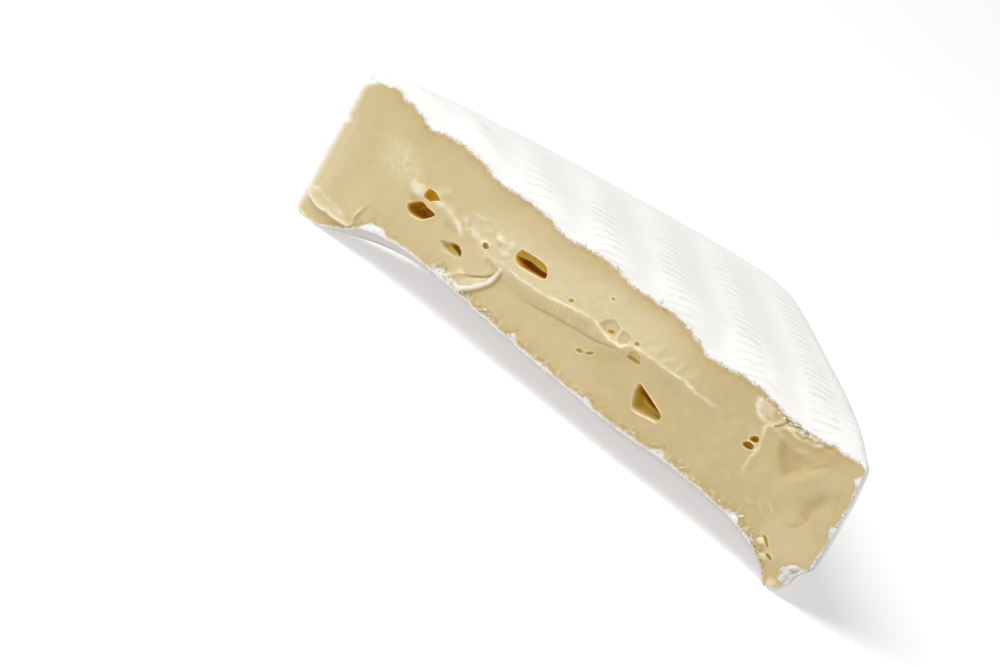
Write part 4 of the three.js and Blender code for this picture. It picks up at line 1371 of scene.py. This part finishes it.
# Lumps per millimetre of each kind of unevenness
CLOUD_LUMPS = 0.12
MOTTLE_LUMPS = 0.45
CHALK_LUMPS = 0.75
GRAIN_LUMPS = 1.2
FRINGE_LUMPS = 2.4
RIPE_DEPTH = 4.5
PASTE_TURN = (-15, 45)
RAGGED_EDGE = 0.8
EDGE_PITS = 0.6
CORNER_PITS = 0.4
CORNER_GREY = 0.6
RIND_EDGE = (-0.3, 0.42)
FRINGE_START = (-0.7, -0.2)
FRINGE_END = (0.1, 0.6)
PASTE_ROUGHNESS = 0.45
CORE_DRYNESS = 0.16
GRAIN_HEIGHT = 0.2
CHALK_HEIGHT = 0.4
GRAIN_STRENGTH = 0.45
GRAIN_DEPTH = 0.25
TRANSLUCENCY = 0.8
GLOW_DEPTH = 1.8
GLOW_COLOUR = (1.0, 0.7, 0.3)

cut_paste, tree, shader = new_material("cut paste")
where = millimetres(tree)
axes = new_node(tree, "ShaderNodeSeparateXYZ", "along the cut")
link(tree, where, axes.inputs["Vector"])
gap = attribute(tree, "rind_gap")
gritty = attribute(tree, "grit")
core_here = attribute(tree, "core")
shredded = attribute(tree, "shred")
hole_glow_here = attribute(tree, "hole_glow")
fine_grain = speckle(tree, where, GRAIN_LUMPS, "fine grain", detail=3.0)
cloud = speckle(tree, where, CLOUD_LUMPS, "cloud", detail=2.0)
mottle = speckle(tree, where, MOTTLE_LUMPS, "mottle", detail=3.0)
chalk = speckle(tree, where, CHALK_LUMPS, "chalk", detail=4.0, distortion=0.6)
fringe_grain = speckle(tree, where, FRINGE_LUMPS, "fringe grain", detail=2.0)

# The paste from left to right, clouded and mottled, riper under the rind and chalky in the core
turn = ramped(tree, axes.outputs["X"], *PASTE_TURN, "towards the right")
colour = blended(tree, turn, PASTE_LEFT, PASTE_RIGHT, "paste")
clouded = times(tree, ramped(tree, cloud, 0.35, 0.75, "clouds"), CLOUD_SHARE, "faint clouds")
colour = blended(tree, clouded, colour, PASTE_CORE, "cloudy paste")
mottled = times(tree, ramped(tree, mottle, 0.4, 0.7, "mottled"), MOTTLE_SHARE, "faint mottle")
colour = blended(tree, mottled, colour, PASTE_CORE, "mottled paste")
under_rind = inverse(tree, ramped(tree, gap, 0.0, RIPE_DEPTH, "away from the rind"), "under the rind")
under_rind = times(tree, under_rind, gritty, "not at the left tip")
ripe = times(tree, under_rind, RIPE_SHARE, "ripe edge")
colour = blended(tree, ripe, colour, PASTE_RIPE, "ripe by the rind")
chalky = times(tree, core_here, ramped(tree, chalk, 0.0, 0.6, "chalk flecks"), "chalky core")
colour = blended(tree, times(tree, chalky, CORE_SHARE, "core share"), colour, PASTE_CORE, "core")

# Painted shade in crevices, hollows and under folds, paler crests and rims in places painted as highlights,
# the white lip and the insides of the holes
crevices = times(tree, attribute(tree, "dark"), CREVICE_SHARE, "shade")
colour = blended(tree, crevices, colour, SHADE_OCHRE, "crevices")
colour = blended(tree, attribute(tree, "pale"), colour, PASTE_PALE, "pale crests")
colour = blended(tree, attribute(tree, "white_lip"), colour, LIP_WHITE, "white lip")
# Painted glow on the walls of the holes, and painted shade in their deep pits
colour = blended(tree, ramped(tree, hole_glow_here, 0.0, 0.5, "golden"), colour, HOLE_GLOW_GOLD, "golden walls")
colour = blended(tree, ramped(tree, hole_glow_here, 0.5, 0.95, "ochre"), colour, HOLE_GLOW_OCHRE, "ochre walls")
colour = blended(tree, attribute(tree, "deep_shade"), colour, HOLE_SHADE_BROWN, "brown pits")

# The torn rind over the edge of the paste, and the gritty fringe between them
bloom = new_node(tree, "ShaderNodeGroup", "torn rind", node_tree=rind_bloom)
# Painted shade in the torn rind's pits, stronger at the torn corner
pitted = times(tree, gritty, EDGE_PITS, "pits away from the tip")
pitted = maths(tree, "MULTIPLY_ADD", shredded, CORNER_PITS, "pitted corner", third=pitted)
link(tree, pitted, bloom.inputs["Torn"])
link(tree, times(tree, shredded, CORNER_GREY, "greyed corner"), bloom.inputs["Aged"])
ragged = maths(tree, "SUBTRACT", fine_grain, 0.5, "grain shift")
ragged = times(tree, times(tree, ragged, RAGGED_EDGE, "ragged"), gritty, "gritty edge")
ragged = maths(tree, "ADD", gap, ragged, "ragged gap")
rind_mask = inverse(tree, ramped(tree, ragged, *RIND_EDGE, "past the rind"), "rind on the cut")
dragged = times(tree, gritty, DRAGGED_SHARE, "dragged")
torn_white = blended(tree, dragged, bloom.outputs["Colour"], RIND_DRAGGED, "dragged rind")
colour = blended(tree, rind_mask, colour, torn_white, "torn rind edge")
fringe_start = ramped(tree, gap, *FRINGE_START, "fringe starts")
fringe_end = ramped(tree, gap, *FRINGE_END, "fringe ends")
fringe = maths(tree, "SUBTRACT", fringe_start, fringe_end, "fringe")
fringe = times(tree, fringe, gritty, "gritty fringe")
dark_grains = inverse(tree, ramped(tree, fringe_grain, 0.36, 0.52, "not dark"), "dark grains")
light_grains = ramped(tree, fringe_grain, 0.56, 0.66, "light grains")
dark_grains = times(tree, times(tree, dark_grains, fringe, "in fringe"), DARK_GRAIN_SHARE, "dark share")
light_grains = times(tree, times(tree, light_grains, fringe, "in fringe"), LIGHT_GRAIN_SHARE, "light share")
colour = blended(tree, dark_grains, colour, FRINGE_DARK, "dark fringe")
colour = blended(tree, light_grains, colour, FRINGE_LIGHT, "light fringe")
link(tree, colour, shader.inputs["Base Color"])

# The core and the rind are drier than the ripe paste, and only the paste glows
dry = maths(tree, "MULTIPLY_ADD", chalky, CORE_DRYNESS, "drier core", third=PASTE_ROUGHNESS)
dry = maths(tree, "MAXIMUM", dry, times(tree, rind_mask, RIND_ROUGHNESS, "dry rind"), "roughness")
link(tree, dry, shader.inputs["Roughness"])
grain_height = times(tree, fine_grain, GRAIN_HEIGHT, "grain height")
chalk_height = times(tree, times(tree, chalk, core_here, "chalk in the core"), CHALK_HEIGHT, "chalk height")
bump = new_node(tree, "ShaderNodeBump", "grain")
set_inputs(bump, Strength=GRAIN_STRENGTH, Distance=GRAIN_DEPTH * MM)
link(tree, maths(tree, "ADD", grain_height, chalk_height, "relief"), bump.inputs["Height"])
link(tree, bump.outputs["Normal"], shader.inputs["Normal"])
glow = maths(tree, "SUBTRACT", attribute(tree, "solid"), rind_mask, "paste alone", clamp=True)
link(tree, times(tree, glow, TRANSLUCENCY, "translucent paste"), shader.inputs["Subsurface Weight"])
set_inputs(shader, Specular_IOR_Level=0.3, Subsurface_Scale=GLOW_DEPTH * MM, Subsurface_Radius=GLOW_COLOUR)

skin.materials.append(white_rind)
skin.materials.append(cut_paste)
for polygon in skin.polygons:
    polygon.material_index = int(all(is_cut[v] for v in polygon.vertices))
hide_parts("brie_wedge")
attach(body, "root")

# Crumbs
# Small bits that broke off where the knife tore the rind: dry white grains of bloom along both edges,
# and yellower bits of paste along the bottom and under the torn top edge.
CRUMB_SMALLEST = 0.1
CRUMB_LARGEST = 0.42
CRUMB_SMALLNESS = 2.5
CRUMB_LUMPS = 2.5
CRUMB_ROUGHNESS = 0.22
CRUMB_STRETCH = (0.6, 1.3)
CRUMB_SINK = (0.35, 0.7)
RIND_CRUMBS = 140
PASTE_CRUMBS = 120
rng = np.random.default_rng(7)
surface = place[is_cut]
ball = bmesh.new()
bmesh.ops.create_icosphere(ball, subdivisions=2, radius=1)
ball_points = np.array([v.co for v in ball.verts])
ball_faces = np.array([[v.index for v in f.verts] for f in ball.faces])
ball.free()


def crumb_piece(name, likely, amount, material):
    """Rough little lumps half sunk in the cut, joined as one piece, placed by how likely each point is."""
    spots = rng.choice(len(surface), size=amount, replace=False, p=likely / likely.sum())
    lump_points = []
    for spot in spots:
        size = CRUMB_SMALLEST + (CRUMB_LARGEST - CRUMB_SMALLEST) * rng.random() ** CRUMB_SMALLNESS
        turned = np.array(Euler(rng.uniform(0, 2 * math.pi, 3)).to_matrix())
        waves = ball_points @ rng.normal(0, CRUMB_LUMPS, (3, 3)) + rng.uniform(0, 6, 3)
        rough = 1 + CRUMB_ROUGHNESS * np.sin(waves).sum(axis=1)
        shape = ball_points * rough[:, None] * rng.uniform(*CRUMB_STRETCH, 3) * size
        sink = np.array([0, rng.uniform(*CRUMB_SINK) * size, 0])
        lump_points.append(surface[spot] + shape @ turned + sink)
    firsts = np.arange(amount)[:, None, None] * len(ball_points)
    lump_faces = (ball_faces[None] + firsts).reshape(-1, 3)
    mesh = bpy.data.meshes.new(name)
    mesh.from_pydata((np.vstack(lump_points) * MM).tolist(), [], lump_faces.tolist())
    mesh.shade_smooth()
    mesh.materials.append(material)
    piece = bpy.data.objects.new(name, mesh)
    bpy.context.collection.objects.link(piece)
    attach(piece, "root")


rind_crumb, tree, shader = new_material("rind crumb")
bloom = new_node(tree, "ShaderNodeGroup", "bloom", node_tree=rind_bloom)
# Greyer crumbs, with painted shade in their pits
set_inputs(bloom, Torn=0.5, Aged=0.45)
link(tree, bloom.outputs["Colour"], shader.inputs["Base Color"])
set_inputs(shader, Roughness=RIND_ROUGHNESS, Specular_IOR_Level=0.2)

TONE_LUMPS = 0.9
crumb_paste, tree, shader = new_material("crumb paste")
tone = speckle(tree, millimetres(tree), TONE_LUMPS, "crumb tone")
tone = ramped(tree, tone, 0.3, 0.7, "pale crumbs")
link(tree, blended(tree, tone, PASTE_CORE, PASTE_PALE, "crumbs"), shader.inputs["Base Color"])
set_inputs(shader, Roughness=0.6, Specular_IOR_Level=0.3, Subsurface_Weight=0.2, Subsurface_Scale=2 * MM)

# Crumbs lie off the holes, the tips and the table, thicker along the bottom than along the top
HOLE_START = 0.1
LEFT_MARGIN = 12
RIGHT_MARGIN = 3
TABLE_MARGIN = 1
BOTTOM_BAND = 3
BOTTOM_CRUMBS = 1.3
TOP_CRUMBS = 0.8
TORN_CRUMBS = 0.8
# Bands along the edge of the torn rind, as distance in from it and width
WHITE_BAND = (0.05, 0.35)
YELLOW_BAND = (0.9, 0.7)
TORN_BAND = (0.6, 0.6)


def along_rind(distance, width):
    return ridge(rind_gap - distance, width)


clear = (sunk < HOLE_START) & (to_left > LEFT_MARGIN) & (to_right > RIGHT_MARGIN) & (cz > TABLE_MARGIN)
clear = clear * firm
white_band = along_rind(*WHITE_BAND) * np.where(to_bottom < BOTTOM_BAND, BOTTOM_CRUMBS, TOP_CRUMBS)
yellow_band = beads * along_rind(*YELLOW_BAND) + TORN_CRUMBS * torn * along_rind(*TORN_BAND)
crumb_piece("rind_crumbs", white_band * clear, RIND_CRUMBS, rind_crumb)
crumb_piece("paste_crumbs", yellow_band * clear, PASTE_CRUMBS, crumb_paste)

# The studio
# A plain white floor with a large softbox above and an even surround, as for a packshot.
# A long lens looks down on the cut, rolled so that the piece slants across the picture.
FLOOR_HALF = 3.0
FLOOR_GREY = (0.66, 0.66, 0.66, 1)
FLOOR_GLOW = 0.42
SURROUND_STRENGTH = 0.22
WHITE = (1, 1, 1, 1)
floor_mesh = bpy.data.meshes.new("floor")
floor_corners = [(FLOOR_HALF * a, FLOOR_HALF * b, 0) for a, b in ((-1, -1), (1, -1), (1, 1), (-1, 1))]
floor_mesh.from_pydata(floor_corners, [], [(0, 1, 2, 3)])
floor = bpy.data.objects.new("floor", floor_mesh)
bpy.context.collection.objects.link(floor)
floor_white, tree, shader = new_material("floor white")
set_inputs(shader, Base_Color=FLOOR_GREY, Roughness=0.9, Emission_Color=WHITE, Emission_Strength=FLOOR_GLOW)
floor_mesh.materials.append(floor_white)

world = bpy.data.worlds.new("surround")
bpy.context.scene.world = world
world.use_nodes = True
set_inputs(world.node_tree.nodes["Background"], Color=WHITE, Strength=SURROUND_STRENGTH)

# The camera: angles in degrees, distance, lens and the point aimed at in millimetres
CAMERA_AZIMUTH = 32.24
CAMERA_ELEVATION = 14.16
CAMERA_ROLL = 29.79
CAMERA_DISTANCE = 903.9
CAMERA_LENS = 180.0
CAMERA_SENSOR = 36.0
CAMERA_FAR = 20
CAMERA_AIM = (-10.14, -4.39, 7.32)
azimuth, elevation = math.radians(CAMERA_AZIMUTH), math.radians(CAMERA_ELEVATION)
aim = Vector((CAMERA_AIM[0], CAMERA_AIM[1] + CUT_PLANE, CAMERA_AIM[2])) * MM
level = math.cos(elevation)
back = Vector((math.sin(azimuth) * level, -math.cos(azimuth) * level, math.sin(elevation)))
camera_data = bpy.data.cameras.new("camera")
camera_data.lens = CAMERA_LENS
camera_data.sensor_width = CAMERA_SENSOR
camera_data.clip_end = CAMERA_FAR
camera = bpy.data.objects.new("camera", camera_data)
bpy.context.collection.objects.link(camera)
upright = (-back).to_track_quat("-Z", "Y").to_matrix().to_4x4()
rolled = upright @ Matrix.Rotation(math.radians(CAMERA_ROLL), 4, "Z")
camera.matrix_world = Matrix.Translation(aim + back * CAMERA_DISTANCE * MM) @ rolled
bpy.context.scene.camera = camera

SOFTBOX_DISTANCE = 2.4
SOFTBOX_SIZE = 2.0
KEY_SIDE = (-0.42, -0.42, 0.80)
KEY_POWER = 58.5
FILL_SIDE = (0.80, -0.20, 0.42)
FILL_POWER = 11.0


def softbox(name, side, power):
    lamp = bpy.data.lights.new(name, "AREA")
    lamp.shape = "DISK"
    lamp.size = SOFTBOX_SIZE
    lamp.energy = power
    lit = bpy.data.objects.new(name, lamp)
    bpy.context.collection.objects.link(lit)
    towards = Vector(side).normalized()
    lit.location = towards * SOFTBOX_DISTANCE
    lit.rotation_mode = "QUATERNION"
    lit.rotation_quaternion = (-towards).to_track_quat("-Z", "Y")


softbox("key", KEY_SIDE, KEY_POWER)
softbox("fill", FILL_SIDE, FILL_POWER)
bpy.context.scene.view_settings.view_transform = "Standard"
